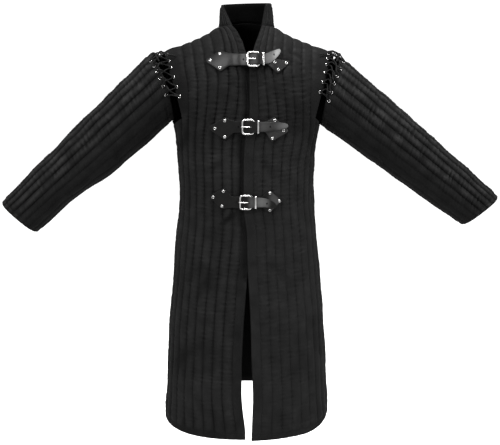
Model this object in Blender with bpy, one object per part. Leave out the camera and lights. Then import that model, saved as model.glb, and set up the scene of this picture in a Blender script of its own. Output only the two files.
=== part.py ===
"""A gambeson: a long quilted coat with a stand collar, three buckled straps and laced-on sleeves.

Metres, +Z up. The front faces -Y and the wearer's left side is at +X. The origin is midway between
the shoulders at the base of the neck. Cloth is a wall whose outer points rise into quilted channels
over a plain inside. A panel is a grid: a line number (p) counts its quilting lines from the front
edge or the centre back out to the side seam, and a row number (q) runs from 0 at the hem through 1
at the foot of the armhole to 2 at the neck and shoulder.
"""

import math

import bmesh
import bpy
import numpy as np
from mathutils import Matrix, Vector
from mathutils.bvhtree import BVHTree

# ---- cloth ----
LINING = 0.003  # from the stitch line to the plain inside
CROWN = 0.006  # how far a padded channel stands over its stitch lines
SEAM_CROWN = 0.0022  # and where a seam or hem presses it flat
SEAM_GAP = 0.0003
SEAT_GAP = 0.0003  # under a piece that rests on another
BAND = 0.027  # width of the plain front edge band
UNDERLAP_DROP = 0.0085  # how far the under front is pressed in beneath the upper one

# ---- body ----
HEM_LEVEL = -1.149
HEM_RISE = {"right": 0.006, "left": 0.034}
CORNER_DROOP = 0.004
ARM_FOOT_LEVEL = -0.235  # where the armhole is narrowest across the chest
ARM_SIDE_LEVEL = -0.266  # the armhole's lowest point, at the side seam
ROUNDNESS = 2.4  # exponent of the superellipse sections
SHOULDER_DROP = 0.17  # height over which the chest rounds up to the shoulder seam
SIDE_LINE = 11  # quilting lines from the front edge to the side seam
ARM_LINE = 8  # the line that ends along the armhole
NECK_LINE = 3  # the line that ends at the neck end of the shoulder seam
NECK_HALF = 0.0747

BODY = (  # level, half width, front depth, back depth
    (-1.146, 0.2500, 0.174, 0.198),
    (-1.050, 0.2390, 0.170, 0.188),
    (-0.915, 0.2300, 0.164, 0.176),
    (-0.786, 0.2190, 0.158, 0.165),
    (-0.661, 0.2070, 0.151, 0.154),
    (-0.570, 0.1960, 0.147, 0.146),
    (-0.500, 0.1890, 0.144, 0.140),
    (-0.422, 0.1855, 0.142, 0.136),
    (-0.335, 0.1892, 0.142, 0.135),
    (-0.279, 0.1958, 0.142, 0.136),
    (-0.200, 0.2270, 0.140, 0.137),
    (-0.100, 0.2480, 0.133, 0.133),
    (0.030, 0.2560, 0.118, 0.123),
)
CREST = (  # distance from the middle, front height, back height
    (0.000, 0.030, 0.046),
    (0.030, 0.026, 0.039),
    (0.055, 0.013, 0.019),
    (0.0747, -0.001, -0.001),
    (0.088, -0.0095, -0.0095),
    (0.110, -0.0225, -0.0225),
    (0.145, -0.0380, -0.0380),
    (0.181, -0.0515, -0.0515),
    (0.206, -0.059, -0.059),
    (0.234, -0.071, -0.071),
)
BACK_NECK_RISE = 0.011  # centre back of the neck edge above the front of it
ARMHOLE = (  # level, distance from the middle: right front, left front, right back, left back
    (-0.235, 0.1710, 0.1850, 0.1985, 0.1970),
    (-0.210, 0.1760, 0.1910, 0.2020, 0.2012),
    (-0.180, 0.1835, 0.1990, 0.2045, 0.2068),
    (-0.156, 0.1905, 0.2080, 0.2075, 0.2122),
    (-0.130, 0.2005, 0.2155, 0.2130, 0.2185),
    (-0.105, 0.2090, 0.2220, 0.2215, 0.2250),
    (-0.066, 0.2245, 0.2305, 0.2245, 0.2305),
)
EDGES = (  # level, front edge of the right and of the left panel, each outwards from the middle
    (-1.146, 0.0030, 0.0140),
    (-1.107, 0.0045, 0.0155),
    (-1.080, 0.0080, 0.0163),
    (-1.020, 0.0135, 0.0183),
    (-0.965, 0.0134, 0.0165),
    (-0.903, 0.0124, 0.0139),
    (-0.803, 0.0075, 0.0114),
    (-0.704, 0.0002, 0.0067),
    (-0.660, -0.0040, 0.0040),
    (-0.608, -0.0100, 0.0018),
    (-0.536, -0.0160, 0.0000),
    (-0.470, -0.0150, -0.0080),
    (-0.421, -0.0150, -0.0079),
    (-0.282, -0.0190, -0.0031),
    (-0.222, -0.0295, 0.0074),
    (-0.150, -0.0290, 0.0074),
    (-0.110, -0.0220, 0.0076),
    (-0.0875, -0.0120, 0.0085),
    (-0.063, 0.0000, 0.0165),
    (-0.053, 0.0040, 0.0195),
    (-0.039, 0.0080, 0.0240),
    (-0.0235, 0.0160, 0.0305),
    (-0.009, 0.0240, 0.0360),
    (0.004, 0.0370, 0.0408),
)
LINES_AT_TOP = (0.037, 0.050, 0.062, NECK_HALF, 0.100, 0.125, 0.150, 0.176, 0.2245)
LOW_ROWS = (0.0, 0.022, 0.13, 0.27, 0.42, 0.57, 0.73, 0.88, 1.0)
HIGH_ROWS = (0.0, 0.22, 0.42, 0.6, 0.76, 0.89, 0.97, 1.0)
POINTS_PER_CHANNEL = 3

# ---- collar ----
COLLAR_ROWS = (0.0, 0.34, 0.68, 1.0)
COLLAR_HEIGHT = 0.057
COLLAR_BACK_RISE = 0.008
COLLAR_TILT = 0.002  # the wearer's left side of the top stands this much higher
COLLAR_TOP_HALF = 0.0665
COLLAR_TOP_DEPTH = 0.0700
COLLAR_CENTRE_Y = 0.008
COLLAR_GAP = 0.0006
COLLAR_SLOPES = (0.75, 0.29)  # how far each front end turns back at the top, right and left, radians
COLLAR_SLOPE_FADE = 1.25  # how quickly that fades towards the centre back

# ---- sleeves ----
SLEEVE_CHANNELS = 20
SLEEVE_ROWS = (0.0, 0.045, 0.16, 0.3, 0.45, 0.6, 0.74, 0.88, 1.0)
SLEEVES = {  # head and cuff centres (x, z); how far the head and cuff slant and the head's sides bulge
    "right": {
        "side": -1,
        "head": (0.2348, -0.1605),
        "cuff": (0.6550, -0.5295),
        "head_slant": 0.042,
        "head_bulge": 0.0285,
        "back_bulge": 0.0180,
        "under_back": 0.0100,
        "cuff_slant": 0.006,
        "sizes": (  # share of the length, upper, under, forward and rear radius
            (0.0, 0.0840, 0.0840, 0.0900, 0.0800),
            (0.22, 0.0790, 0.0825, 0.0840, 0.0800),
            (0.45, 0.0745, 0.0800, 0.0770, 0.0770),
            (0.73, 0.0680, 0.0620, 0.0660, 0.0660),
            (1.0, 0.0620, 0.0620, 0.0540, 0.0540),
        ),
    },
    "left": {
        "side": 1,
        "head": (0.2350, -0.1730),
        "cuff": (0.6717, -0.5100),
        "head_slant": 0.038,
        "head_bulge": 0.0195,
        "back_bulge": 0.0180,
        "under_back": 0.0160,
        "cuff_slant": 0.013,
        "sizes": (
            (0.0, 0.0860, 0.0860, 0.0800, 0.0750),
            (0.22, 0.0810, 0.0790, 0.0800, 0.0770),
            (0.45, 0.0755, 0.0745, 0.0760, 0.0760),
            (0.73, 0.0680, 0.0670, 0.0660, 0.0660),
            (1.0, 0.0600, 0.0600, 0.0540, 0.0540),
        ),
    },
}
UNDER_BACK_TURN = math.radians(142)  # where under the back the head reaches furthest in
CUFF_BOW = 0.008  # how far the cuff's front and back are set up the arm

# ---- lacing ----
EYELETS = {  # from the top down: the body's levels, and degrees round from the sleeve's top
    "right": {
        "levels": (-0.0725, -0.089, -0.105, -0.129, -0.153, -0.177),
        "turns": (38, 53, 65, 78, 92, 107),
    },
    "left": {
        "levels": (-0.0715, -0.083, -0.098, -0.118, -0.142, -0.167),
        "turns": (23, 45, 62, 76, 91, 105),
    },
}
EYELET_INSET = 0.009  # from the cloth's edge to an eyelet's middle
EYELETS_SHOWN = 4  # pairs of eyelets on each front that are solids of their own
EYELET_OUTER, EYELET_HOLE, EYELET_HEIGHT = 0.0045, 0.0027, 0.0011
LACE_RADIUS = 0.0019
LACE_LIFT = 0.0039  # from the cloth to the lace's middle at an eyelet
LACE_RIM_LIFT = 0.0057  # and where it leaves the cloth's edge
LACE_MID_LIFT = 0.0022  # and over the middle of the gap
LACE_CROSSING = 0.0048  # how far one strand rises over the other
LACE_TURN = 0.14  # half the height of a turn round an eyelet, as a share of the eyelets' spacing
KNOT_PAIR = -0.2  # the knot's place, counted in pairs of eyelets down the gap
KNOT_TAIL_A = (  # across towards the sleeve, up, outwards, in mm from the knot's middle
    (-17.0, -2.0, 8.8),
    (-7.0, 4.0, 8.6),
    (3.5, 5.0, 8.0),
    (7.5, 0.0, 7.0),
    (3.0, -6.0, 6.0),
    (-5.5, -6.0, 5.6),
)
KNOT_TAIL_B = (
    (12.0, 2.5, 8.0),
    (5.0, 1.0, 12.4),
    (-1.0, -5.0, 14.0),
)
TAIL_DROP = ((0.5, 0.0170), (0.95, 0.0135), (1.2, 0.0125))  # pair, height over the gap

# ---- straps and buckles ----
LEATHER = 0.0025
STRAP_HALF = 0.015
REST = 0.0009  # leather over the crowns of the quilting
NECK_REST = 0.0023  # leather where the keeper passes under it
BUCKLE_HALF_U, BUCKLE_HALF_V, BUCKLE_WIRE = 0.0145, 0.0182, 0.00175
BUCKLE_LEVEL = NECK_REST + LEATHER + 0.0005 + BUCKLE_WIRE
OVER_BAR = BUCKLE_LEVEL + BUCKLE_WIRE + 0.0009
PRONG_RADIUS = 0.0013
KEEPER_U, KEEPER_BAND, KEEPER_SHEET = 0.0265, 0.0042, 0.0012
RIVET_RADIUS, RIVET_HEIGHT = 0.0043, 0.0022
RIVET_FROM_CORNER = 0.025
CORNER_MARGIN = 0.009  # from a corner rivet to the leather's corner
TAIL_LIFT = 0.0014  # the strap's free end over the base
FLAT_REACH, FLAT_FADE = 0.032, 0.020  # the leather is flat this far from the buckle, then meets the cloth
CLOSURES = (
    # Each kite: its corner rivets' middle (u, v), half their distance, its point (u, v), and how far the
    # upper corner leans along u. The tail's rows: share of its length, middle v and half width.
    {
        "x": 0.0177, "z": -0.0840,
        "left": {"u": -0.0815, "v": -0.0040, "half": 0.0165, "point_u": -0.1186, "point_v": -0.0040,
                 "lean": 0.0},
        "right": {"u": 0.0570, "v": -0.0165, "half": 0.0090, "point_u": 0.0925, "point_v": -0.0080,
                  "lean": -0.0045},
        "tail": ((0.34, 0.004, 0.0140), (0.6, 0.009, 0.0112), (0.8, 0.0135, 0.0085),
                 (0.93, 0.0165, 0.0060), (1.0, 0.018, 0.0025)),
        "tip": 0.068,
    },
    {
        "x": 0.0048, "z": -0.2512,
        "left": {"u": -0.0590, "v": -0.0055, "half": 0.0210, "point_u": -0.1010, "point_v": -0.0037,
                 "lean": 0.0},
        "right": {"u": 0.0640, "v": -0.0072, "half": 0.0230, "point_u": 0.1020, "point_v": -0.0115,
                  "lean": 0.003},
        "tail": ((0.35, 0.0005, 0.0118), (0.65, 0.001, 0.0098), (0.84, 0.002, 0.0080),
                 (0.95, 0.002, 0.0056), (1.0, 0.002, 0.0025)),
        "tip": 0.102,
    },
    {
        "x": -0.0015, "z": -0.4520,
        "left": {"u": -0.0590, "v": 0.0087, "half": 0.0204, "point_u": -0.0940, "point_v": 0.0126,
                 "lean": 0.002},
        "right": {"u": 0.0620, "v": 0.0005, "half": 0.0229, "point_u": 0.0900, "point_v": 0.0010,
                  "lean": 0.0},
        "tail": ((0.35, -0.001, 0.0125), (0.65, -0.005, 0.0112), (0.84, -0.0085, 0.0088),
                 (0.95, -0.011, 0.0060), (1.0, -0.0115, 0.0025)),
        "tip": 0.080,
    },
)

COLOURS = {  # material name: colour, roughness, metallic
    "black_cotton": ((0.018, 0.018, 0.020, 1.0), 0.85, 0.0),
    "black_leather": ((0.010, 0.010, 0.011, 1.0), 0.38, 0.0),
    "nickel": ((0.78, 0.78, 0.80, 1.0), 0.22, 1.0),
    "lace_cotton": ((0.010, 0.010, 0.011, 1.0), 0.75, 0.0),
}


# ---- small helpers ----


def clear_scene():
    for obj in list(bpy.data.objects):
        bpy.data.objects.remove(obj, do_unlink=True)


def material(name, owner):
    """The owner's own copy of a finish."""
    colour, roughness, metallic = COLOURS[name]
    made = bpy.data.materials.new(f"{name}_{owner}")
    made.use_nodes = True
    shader = made.node_tree.nodes["Principled BSDF"]
    shader.inputs["Base Color"].default_value = colour
    shader.inputs["Roughness"].default_value = roughness
    shader.inputs["Metallic"].default_value = metallic
    made.diffuse_color = colour
    return made


def add_object(name, points, faces, finish, sharp_degrees=50):
    mesh = bpy.data.meshes.new(name)
    mesh.from_pydata([tuple(map(float, p)) for p in points], [], faces)
    work = bmesh.new()
    work.from_mesh(mesh)
    bmesh.ops.recalc_face_normals(work, faces=work.faces)
    work.to_mesh(mesh)
    work.free()
    mesh.shade_smooth()
    mesh.set_sharp_from_angle(angle=math.radians(sharp_degrees))
    obj = bpy.data.objects.new(name, mesh)
    bpy.context.scene.collection.objects.link(obj)
    obj.data.materials.append(material(finish, name))
    return obj


def smoothstep(value):
    t = np.clip(value, 0.0, 1.0)
    return t * t * (3 - 2 * t)


def through(table, column, at):
    """A smooth curve through a table's column, read at its first column's values."""
    keys = np.array([row[0] for row in table])
    values = np.array([row[column] for row in table])
    slopes = np.gradient(values, keys)
    at = np.clip(at, keys[0], keys[-1])
    i = np.clip(np.searchsorted(keys, at) - 1, 0, len(keys) - 2)
    span = keys[i + 1] - keys[i]
    t = (at - keys[i]) / span
    return (
        (1 + 2 * t) * (1 - t) ** 2 * values[i]
        + t * (1 - t) ** 2 * span * slopes[i]
        + t * t * (3 - 2 * t) * values[i + 1]
        - t * t * (1 - t) * span * slopes[i + 1]
    )


def surface_of(obj):
    mesh = obj.data
    mesh.calc_loop_triangles()
    return BVHTree.FromPolygons([v.co for v in mesh.vertices], [t.vertices for t in mesh.loop_triangles])


def seat(tree, place, outward, radius, reach=0.02):
    """Where a round piece rests on a surface below: its foot's middle, just clear of it, and the way out."""
    found, normal = tree.ray_cast(place + outward * reach, -outward)[:2]
    if normal.dot(outward) < 0:
        normal = -normal
    lift = 0.0
    turn = normal.to_track_quat("Z", "Y").to_matrix()
    for share in (0.4, 0.7, 0.9, 1.0):
        for k in range(24):
            angle = math.pi * k / 12
            spot = Vector((math.cos(angle), math.sin(angle), 0)) * radius * share
            below = tree.ray_cast(found + turn @ spot + normal * reach, -normal)[0]
            if below is not None:
                lift = max(lift, (below - found).dot(normal))
    return found + normal * (lift + SEAT_GAP), normal


# ---- the body's surface ----


def quarter_arc(half, depth, steps=129):
    """Distances from the middle, depths and lengths along a quarter of a section."""
    turn = np.linspace(0, math.pi / 2, steps)
    x = half * np.sin(turn) ** (2 / ROUNDNESS)
    y = depth * np.cos(turn) ** (2 / ROUNDNESS)
    length = np.concatenate([[0], np.cumsum(np.hypot(np.diff(x), np.diff(y)))])
    return x, y, length


def depth_at(face, x, z):
    """How far the front or back surface lies from the side plane."""
    column = 1 if face == "front" else 2
    half = through(BODY, 1, z)
    full = through(BODY, column + 1, z)
    across = np.clip(np.abs(x) / half, 0, 1)
    rise = np.clip((through(CREST, column, np.abs(x)) - z) / SHOULDER_DROP, 0, 1)
    return full * (1 - across**ROUNDNESS) ** (1 / ROUNDNESS) * np.sqrt(rise * (2 - rise))


def edge_at(face, side, z):
    """The front edge's distance from the middle; the back's grid starts at its middle."""
    if face == "back":
        return 0.0 * z
    return through(EDGES, 1 if side < 0 else 2, z)


def arm_edge_at(face, side, z):
    return through(ARMHOLE, (1 if side < 0 else 2) + (0 if face == "front" else 2), z)


def hem_level(face, side, p):
    """The hem rises to the side seams, and the upper front's corner hangs a little lower."""
    rise = HEM_RISE["right" if side < 0 else "left"] * max(0.0, (p - 5.5) / (SIDE_LINE - 5.5)) ** 1.5
    droop = CORNER_DROOP * max(0.0, 1 - p / 4) if face == "front" and side > 0 else 0.0
    return HEM_LEVEL + rise - droop


def top_line(face, side, p):
    """Where each line meets the neck edge or shoulder seam, from the middle."""
    lines = list(LINES_AT_TOP)
    lines[ARM_LINE] = ARMHOLE[-1][1 if side < 0 else 2]
    if face == "front":
        lines[0] = EDGES[-1][1 if side < 0 else 2]
    else:
        lines[:NECK_LINE] = [NECK_HALF * k / NECK_LINE for k in range(NECK_LINE)]
    return np.interp(p, range(len(lines)), lines)


def top_level(face, side, p):
    x = top_line(face, side, p)
    seam = through(CREST, 1, x)
    if face == "front":
        neck = 0.004 - 0.005 * np.clip(p / NECK_LINE, 0, 1)
    else:
        neck = (BACK_NECK_RISE + 0.001) * (1 - np.clip(p / NECK_LINE, 0, 1) ** 2) - 0.001
    return np.where(p < NECK_LINE, neck, seam)


def low_top_level(p):
    """The upper end of the lower rows: level across the chest, then down under the arm."""
    share = np.clip((p - ARM_LINE) / (SIDE_LINE - ARM_LINE), 0, 1)
    return ARM_FOOT_LEVEL + (ARM_SIDE_LEVEL - ARM_FOOT_LEVEL) * np.sin(share * math.pi / 2)


def low_point(face, side, p, z):
    """A point of the lower rows from a line number and a level."""
    half, depth = float(through(BODY, 1, z)), float(through(BODY, 2 if face == "front" else 3, z))
    xs, ys, lengths = quarter_arc(half, depth)
    edge = float(edge_at(face, side, z))
    first = edge + BAND if face == "front" else lengths[-1] / SIDE_LINE

    def line(number):
        if number < 1:
            return edge + (first - edge) * number
        return first + (lengths[-1] - first) * (number - 1) / (SIDE_LINE - 1)

    arm_x = float(arm_edge_at(face, side, ARM_FOOT_LEVEL))
    at_arm = np.interp(arm_x, xs, lengths)
    pull = float(smoothstep((z - ARM_FOOT_LEVEL + 0.13) / 0.13))
    reach = ARM_LINE - NECK_LINE if p < ARM_LINE else SIDE_LINE - ARM_LINE
    near = max(0.0, 1 - abs(p - ARM_LINE) / reach)
    length = line(p) + (at_arm - line(ARM_LINE)) * near * pull
    if length < 0:
        return -float(np.interp(-length, lengths, xs)), float(np.interp(-length, lengths, ys))
    return float(np.interp(length, lengths, xs)), float(np.interp(length, lengths, ys))


def stitch_point(face, side, p, q):
    """The surface at the stitch lines, seen on the +X side: side only picks that side's tables."""
    if q <= 1:
        hem = hem_level(face, side, p)
        z = hem + (float(low_top_level(p)) - hem) * q
        x, depth = low_point(face, side, p, z)
    else:
        share = q - 1
        foot_edge = float(edge_at(face, side, ARM_FOOT_LEVEL))
        foot_arm = float(arm_edge_at(face, side, ARM_FOOT_LEVEL))
        ends = [float(top_line(face, side, k)) for k in (0, ARM_LINE)]
        foot_share = (low_point(face, side, p, ARM_FOOT_LEVEL)[0] - foot_edge) / (foot_arm - foot_edge)
        top_share = (float(top_line(face, side, p)) - ends[0]) / (ends[1] - ends[0])
        across = foot_share + (top_share - foot_share) * share
        levels = [ARM_FOOT_LEVEL + (float(top_level(face, side, k)) - ARM_FOOT_LEVEL) * share
                  for k in (0, ARM_LINE, p)]
        start = float(edge_at(face, side, levels[0]))
        end = float(arm_edge_at(face, side, levels[1]))
        x, z = start + (end - start) * across, levels[2]
        depth = float(depth_at(face, x, z))
    return Vector((x, -depth if face == "front" else depth, z))


def panel_normal(face, side, p, q, step=0.0004):
    last = ARM_LINE if q > 1 else SIDE_LINE
    p0, p1 = max(p - step, 0), min(p + step, last)
    q0, q1 = max(q - step, 1 if q > 1 else 0), min(q + step, 2 if q > 1 else 1)
    across = stitch_point(face, side, p1, q) - stitch_point(face, side, p0, q)
    up = stitch_point(face, side, p, q1) - stitch_point(face, side, p, q0)
    normal = across.cross(up).normalized()
    return normal if face == "front" else -normal


def pillow(share):
    """Height of a padded channel across its width, from 0 at its stitch lines to 1."""
    return math.sin(math.pi * share) ** 0.6 if 0 < share < 1 else 0.0


def padding(face, p, q):
    """How far the outside stands over the stitch surface."""
    height = CROWN * pillow(p - math.floor(p)) * (1 - 0.5 * float(smoothstep((q - 1.7) / 0.3)))
    if face == "front" and p < 1:
        height = SEAM_CROWN if 0 < p < 1 else SEAM_CROWN * 0.6
    if q > 1 and ARM_LINE - 1 < p:
        band = float(smoothstep((q - 1) / 0.15))
        height += (SEAM_CROWN - height) * band
    if q in (0, 2):
        height = min(height, SEAM_CROWN)
    return max(height, 0.0008)


def underlap(p, q, point):
    """The under front's press inwards, from 0 to 1, where the upper front lies over it."""
    upper_edge = float(edge_at("front", 1, point.z))
    own_edge = -float(edge_at("front", -1, point.z))
    over = float(smoothstep((own_edge - upper_edge + 0.006) / 0.0055))
    return over * float(smoothstep((-point.x - upper_edge + 0.026) / 0.022))


def panel_points(face, side, p, q):
    """The outer and inner point of a panel's wall, on the wearer's own side."""
    point = stitch_point(face, side, p, q)
    normal = panel_normal(face, side, p, q)
    rise = padding(face, abs(p), q)
    if face == "front" and side < 0:
        press = underlap(p, q, point)
        rise *= 1 - 0.7 * press
        point = point - normal * UNDERLAP_DROP * press
    outer, inner = point + normal * rise, point - normal * LINING
    seam = -SEAM_GAP / 2 if face == "front" else SEAM_GAP / 2
    if p >= SIDE_LINE or (q >= 2 and p >= NECK_LINE):
        outer.y = inner.y = seam
    elif face == "front":
        outer.y, inner.y = min(outer.y, seam), min(inner.y, seam)
    else:
        outer.y, inner.y = max(outer.y, seam), max(inner.y, seam)
    for corner in (outer, inner):
        corner.x *= side
    return outer, inner


# ---- walls ----


def build_wall(name, outer, inner, tops, ratio, closed, finish):
    """A closed wall from columns of outer points and, every ratio-th column, inner ones.

    tops[i] is column i's last row. A closed wall's last column meets its first.
    """
    points, index_out, index_in = [], {}, {}
    for i, column in enumerate(outer):
        for j in range(tops[i] + 1):
            index_out[i, j] = len(points)
            points.append(column[j])
        if i % ratio == 0:
            for j in range(tops[i] + 1):
                index_in[i, j] = len(points)
                points.append(inner[i // ratio][j])
    count = len(outer)
    faces, spans = [], []
    last = count if closed else count - 1
    for i in range(last):
        k = (i + 1) % count
        for j in range(min(tops[i], tops[k])):
            faces.append((index_out[i, j], index_out[k, j], index_out[k, j + 1], index_out[i, j + 1]))
    for i in range(0, last, ratio):
        k = (i + ratio) % count
        top = min(tops[i], tops[k])
        spans.append((i, k, top))
        for j in range(top):
            faces.append((index_in[i, j], index_in[i, j + 1], index_in[k, j + 1], index_in[k, j]))
        run = [(i + m) % count for m in range(ratio + 1)]
        split = 2 * ratio // 3
        for j in (0, top):
            near, far = index_in[i, j], index_in[k, j]
            faces.append((near, index_out[run[split], j], far))
            for m, (a, b) in enumerate(zip(run, run[1:])):
                faces.append((near if m < split else far, index_out[a, j], index_out[b, j]))

    def close_side(i, low, high):
        for j in range(low, high):
            faces.append((index_out[i, j], index_out[i, j + 1], index_in[i, j + 1], index_in[i, j]))

    if not closed:
        close_side(0, 0, spans[0][2])
        close_side(count - 1, 0, spans[-1][2])
    for (_, k, low), (_, _, high) in zip(spans, spans[1:]):
        if low != high:
            close_side(k, min(low, high), max(low, high))
    return add_object(name, points, faces, finish)


def build_panel(name, face, side_of, lines):
    """A front or back: lines are its column numbers in order, negative on the wearer's right."""
    rows = list(LOW_ROWS) + [1 + share for share in HIGH_ROWS[1:]]
    outer, inner, tops = [], [], []
    for i, line in enumerate(lines):
        side, p = side_of(line), abs(line)
        high = p <= ARM_LINE + 1e-9
        pairs = [panel_points(face, side, p, q) for q in rows if high or q <= 1]
        outer.append([pair[0] for pair in pairs])
        tops.append(len(pairs) - 1)
        if i % POINTS_PER_CHANNEL == 0:
            inner.append([pair[1] for pair in pairs])
    return build_wall(name, outer, inner, tops, POINTS_PER_CHANNEL, False, "black_cotton")


def make_body():
    """The back and the two fronts, which it returns by side."""
    steps = SIDE_LINE * POINTS_PER_CHANNEL
    own = [k / POINTS_PER_CHANNEL for k in range(steps + 1)]
    both = [k / POINTS_PER_CHANNEL for k in range(-steps, steps + 1)]
    build_panel("back", "back", lambda line: -1 if line < 0 else 1, both)
    return {
        "right": build_panel("front_right", "front", lambda line: -1, own),
        "left": build_panel("front_left", "front", lambda line: 1, own),
    }


# ---- collar ----


def neck_ring():
    """The panels' neck edge, right end to left end: outer and inner points, and the way up out of it."""
    ups = [k / POINTS_PER_CHANNEL for k in range(NECK_LINE * POINTS_PER_CHANNEL + 1)]
    stops = [("front", -1, p) for p in ups]
    stops += [("back", -1, p) for p in ups[::-1][1:]]
    stops += [("back", 1, p) for p in ups[1:]]
    stops += [("front", 1, p) for p in ups[::-1][1:]]
    pairs = [panel_points(face, side, p, 2.0) for face, side, p in stops]
    outer, inner = (np.array([tuple(pair[k]) for pair in pairs]) for k in (0, 1))
    forward = np.gradient((outer + inner) / 2, axis=0)
    upward = np.cross(forward, outer - inner)
    upward /= np.linalg.norm(upward, axis=1)[:, None]
    if upward[len(upward) // 2][2] < 0:
        upward = -upward
    at = np.arange(0, len(stops) - 0.75, 0.5)
    read = [np.stack([np.interp(at, range(len(stops)), rows[:, k]) for k in range(3)], axis=1)
            for rows in (outer + upward * COLLAR_GAP, inner + upward * COLLAR_GAP)]
    return read[0], read[1]


def collar_columns():
    """For each column: its foot outside and inside, its top's middle and the way out there."""
    outer_feet, inner_feet = neck_ring()
    count = len(outer_feet)
    columns = []
    for k in range(count):
        share = k / (count - 1)
        turn = math.atan2(outer_feet[k][0], COLLAR_CENTRE_Y - outer_feet[k][1])
        right = max(0.0, 1 - share / 0.5) ** COLLAR_SLOPE_FADE
        left = max(0.0, 1 - (1 - share) / 0.5) ** COLLAR_SLOPE_FADE
        turn += -COLLAR_SLOPES[0] * right + COLLAR_SLOPES[1] * left
        top = Vector((
            COLLAR_TOP_HALF * math.sin(turn),
            COLLAR_CENTRE_Y - COLLAR_TOP_DEPTH * math.cos(turn),
            COLLAR_HEIGHT + COLLAR_BACK_RISE * (1 - math.cos(turn)) / 2 + COLLAR_TILT * math.sin(turn),
        ))
        outward = Vector((math.sin(turn), -math.cos(turn), 0.0))
        columns.append((Vector(outer_feet[k]), Vector(inner_feet[k]), top, outward))
    return columns


def make_collar():
    outer, inner = [], []
    ratio = 2 * POINTS_PER_CHANNEL
    for k, (outer_foot, inner_foot, top, outward) in enumerate(collar_columns()):
        crown = CROWN * 0.6 * pillow((k % POINTS_PER_CHANNEL) / POINTS_PER_CHANNEL)
        out_column, in_column = [outer_foot], [inner_foot]
        for v in COLLAR_ROWS[1:]:
            middle = outer_foot.lerp(top, v)
            rise = min(crown, SEAM_CROWN) if v == 1.0 else crown
            out_column.append(middle + outward * max(rise, 0.0008))
            in_column.append(middle - outward * LINING)
        outer.append(out_column)
        if k % ratio == 0:
            inner.append(in_column)
    tops = [len(COLLAR_ROWS) - 1] * len(outer)
    return build_wall("collar", outer, inner, tops, ratio, False, "black_cotton")


# ---- sleeves ----


def sleeve_frame(sleeve):
    """The head's centre, the direction down the arm, the length and the direction up across it."""
    head, cuff = sleeve["head"], sleeve["cuff"]
    start = Vector((head[0], 0, head[1]))
    along = Vector((cuff[0], 0, cuff[1])) - start
    length = along.length
    along.normalize()
    return start, along, length, Vector((-along.z, 0, along.x))


def sleeve_point(sleeve, turn, share, rise=0.0):
    """A point on the +X side: turn runs from the top forwards, share from the head to the cuff."""
    start, along, length, across = sleeve_frame(sleeve)
    up = math.cos(turn)
    radius_up = through(sleeve["sizes"], 1 if up > 0 else 2, share)
    forward = math.sin(turn)
    radius_out = through(sleeve["sizes"], 3 if forward > 0 else 4, share)
    bulge = sleeve["head_bulge" if forward > 0 else "back_bulge"]
    under_back = sleeve["under_back"] * max(0.0, math.cos(turn + UNDER_BACK_TURN)) ** 4
    head = -sleeve["head_slant"] * up - bulge * forward**2 - under_back
    cuff = sleeve["cuff_slant"] * up - CUFF_BOW * forward**2
    down = head * (1 - share) ** 2 + (length + cuff) * share
    point = start + along * down
    point += across * (float(radius_up) + rise) * up
    point += Vector((0, -1, 0)) * (float(radius_out) + rise) * forward
    return point


def make_sleeve(name):
    sleeve = SLEEVES[name]
    side, count = sleeve["side"], SLEEVE_CHANNELS * POINTS_PER_CHANNEL
    outer, inner = [], []
    for k in range(count):
        turn = 2 * math.pi * k / count
        crown = CROWN * 0.85 * pillow((k % POINTS_PER_CHANNEL) / POINTS_PER_CHANNEL)
        out_column, in_column = [], []
        for share in SLEEVE_ROWS:
            rise = min(crown, SEAM_CROWN) if share in (0.0, 1.0) else crown
            out_column.append(sleeve_point(sleeve, turn, share, max(rise, 0.0008)))
            in_column.append(sleeve_point(sleeve, turn, share, -LINING))
        for point in out_column + in_column:
            point.x *= side
        outer.append(out_column)
        if k % POINTS_PER_CHANNEL == 0:
            inner.append(in_column)
    tops = [len(SLEEVE_ROWS) - 1] * count
    return build_wall(f"sleeve_{name}", outer, inner, tops, POINTS_PER_CHANNEL, True, "black_cotton")


# ---- lacing ----


def mirrored(vector, side):
    return Vector((vector.x * side, vector.y, vector.z))


def beside_armhole(name, face, pair, inset, lift):
    """A point over a body panel beside the armhole, and the outward normal there."""
    side, sign = SLEEVES[name]["side"], -1 if face == "front" else 1
    levels = EYELETS[name]["levels"]
    level = float(np.interp(pair, range(len(levels)), levels))
    x = float(arm_edge_at(face, side, level)) - inset
    step = 0.001
    y = float(depth_at(face, x, level))
    slope_x = (y - float(depth_at(face, x - step, level))) / step
    slope_z = (y - float(depth_at(face, x, level - step))) / step
    normal = Vector((-slope_x, sign, -slope_z)).normalized()
    place = Vector((x, sign * y, level)) + normal * (SEAM_CROWN + lift)
    return mirrored(place, side), mirrored(normal, side)


def beside_head(name, face, pair, inset, lift):
    """A point over a sleeve beside its head's edge, and the outward normal there."""
    sleeve = SLEEVES[name]
    turns = EYELETS[name]["turns"]
    turn = math.radians(float(np.interp(pair, range(len(turns)), turns)))
    turn *= 1 if face == "front" else -1
    share = inset / sleeve_frame(sleeve)[2]
    rise = CROWN * 0.5
    place = sleeve_point(sleeve, turn, share, rise)
    ahead = sleeve_point(sleeve, turn, share + 0.02, rise) - place
    beside = sleeve_point(sleeve, turn + 0.02, share, rise) - place
    normal = beside.cross(ahead).normalized()
    if normal.dot(place - sleeve_frame(sleeve)[0]) < 0:
        normal = -normal
    return mirrored(place + normal * lift, sleeve["side"]), mirrored(normal, sleeve["side"])


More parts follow.
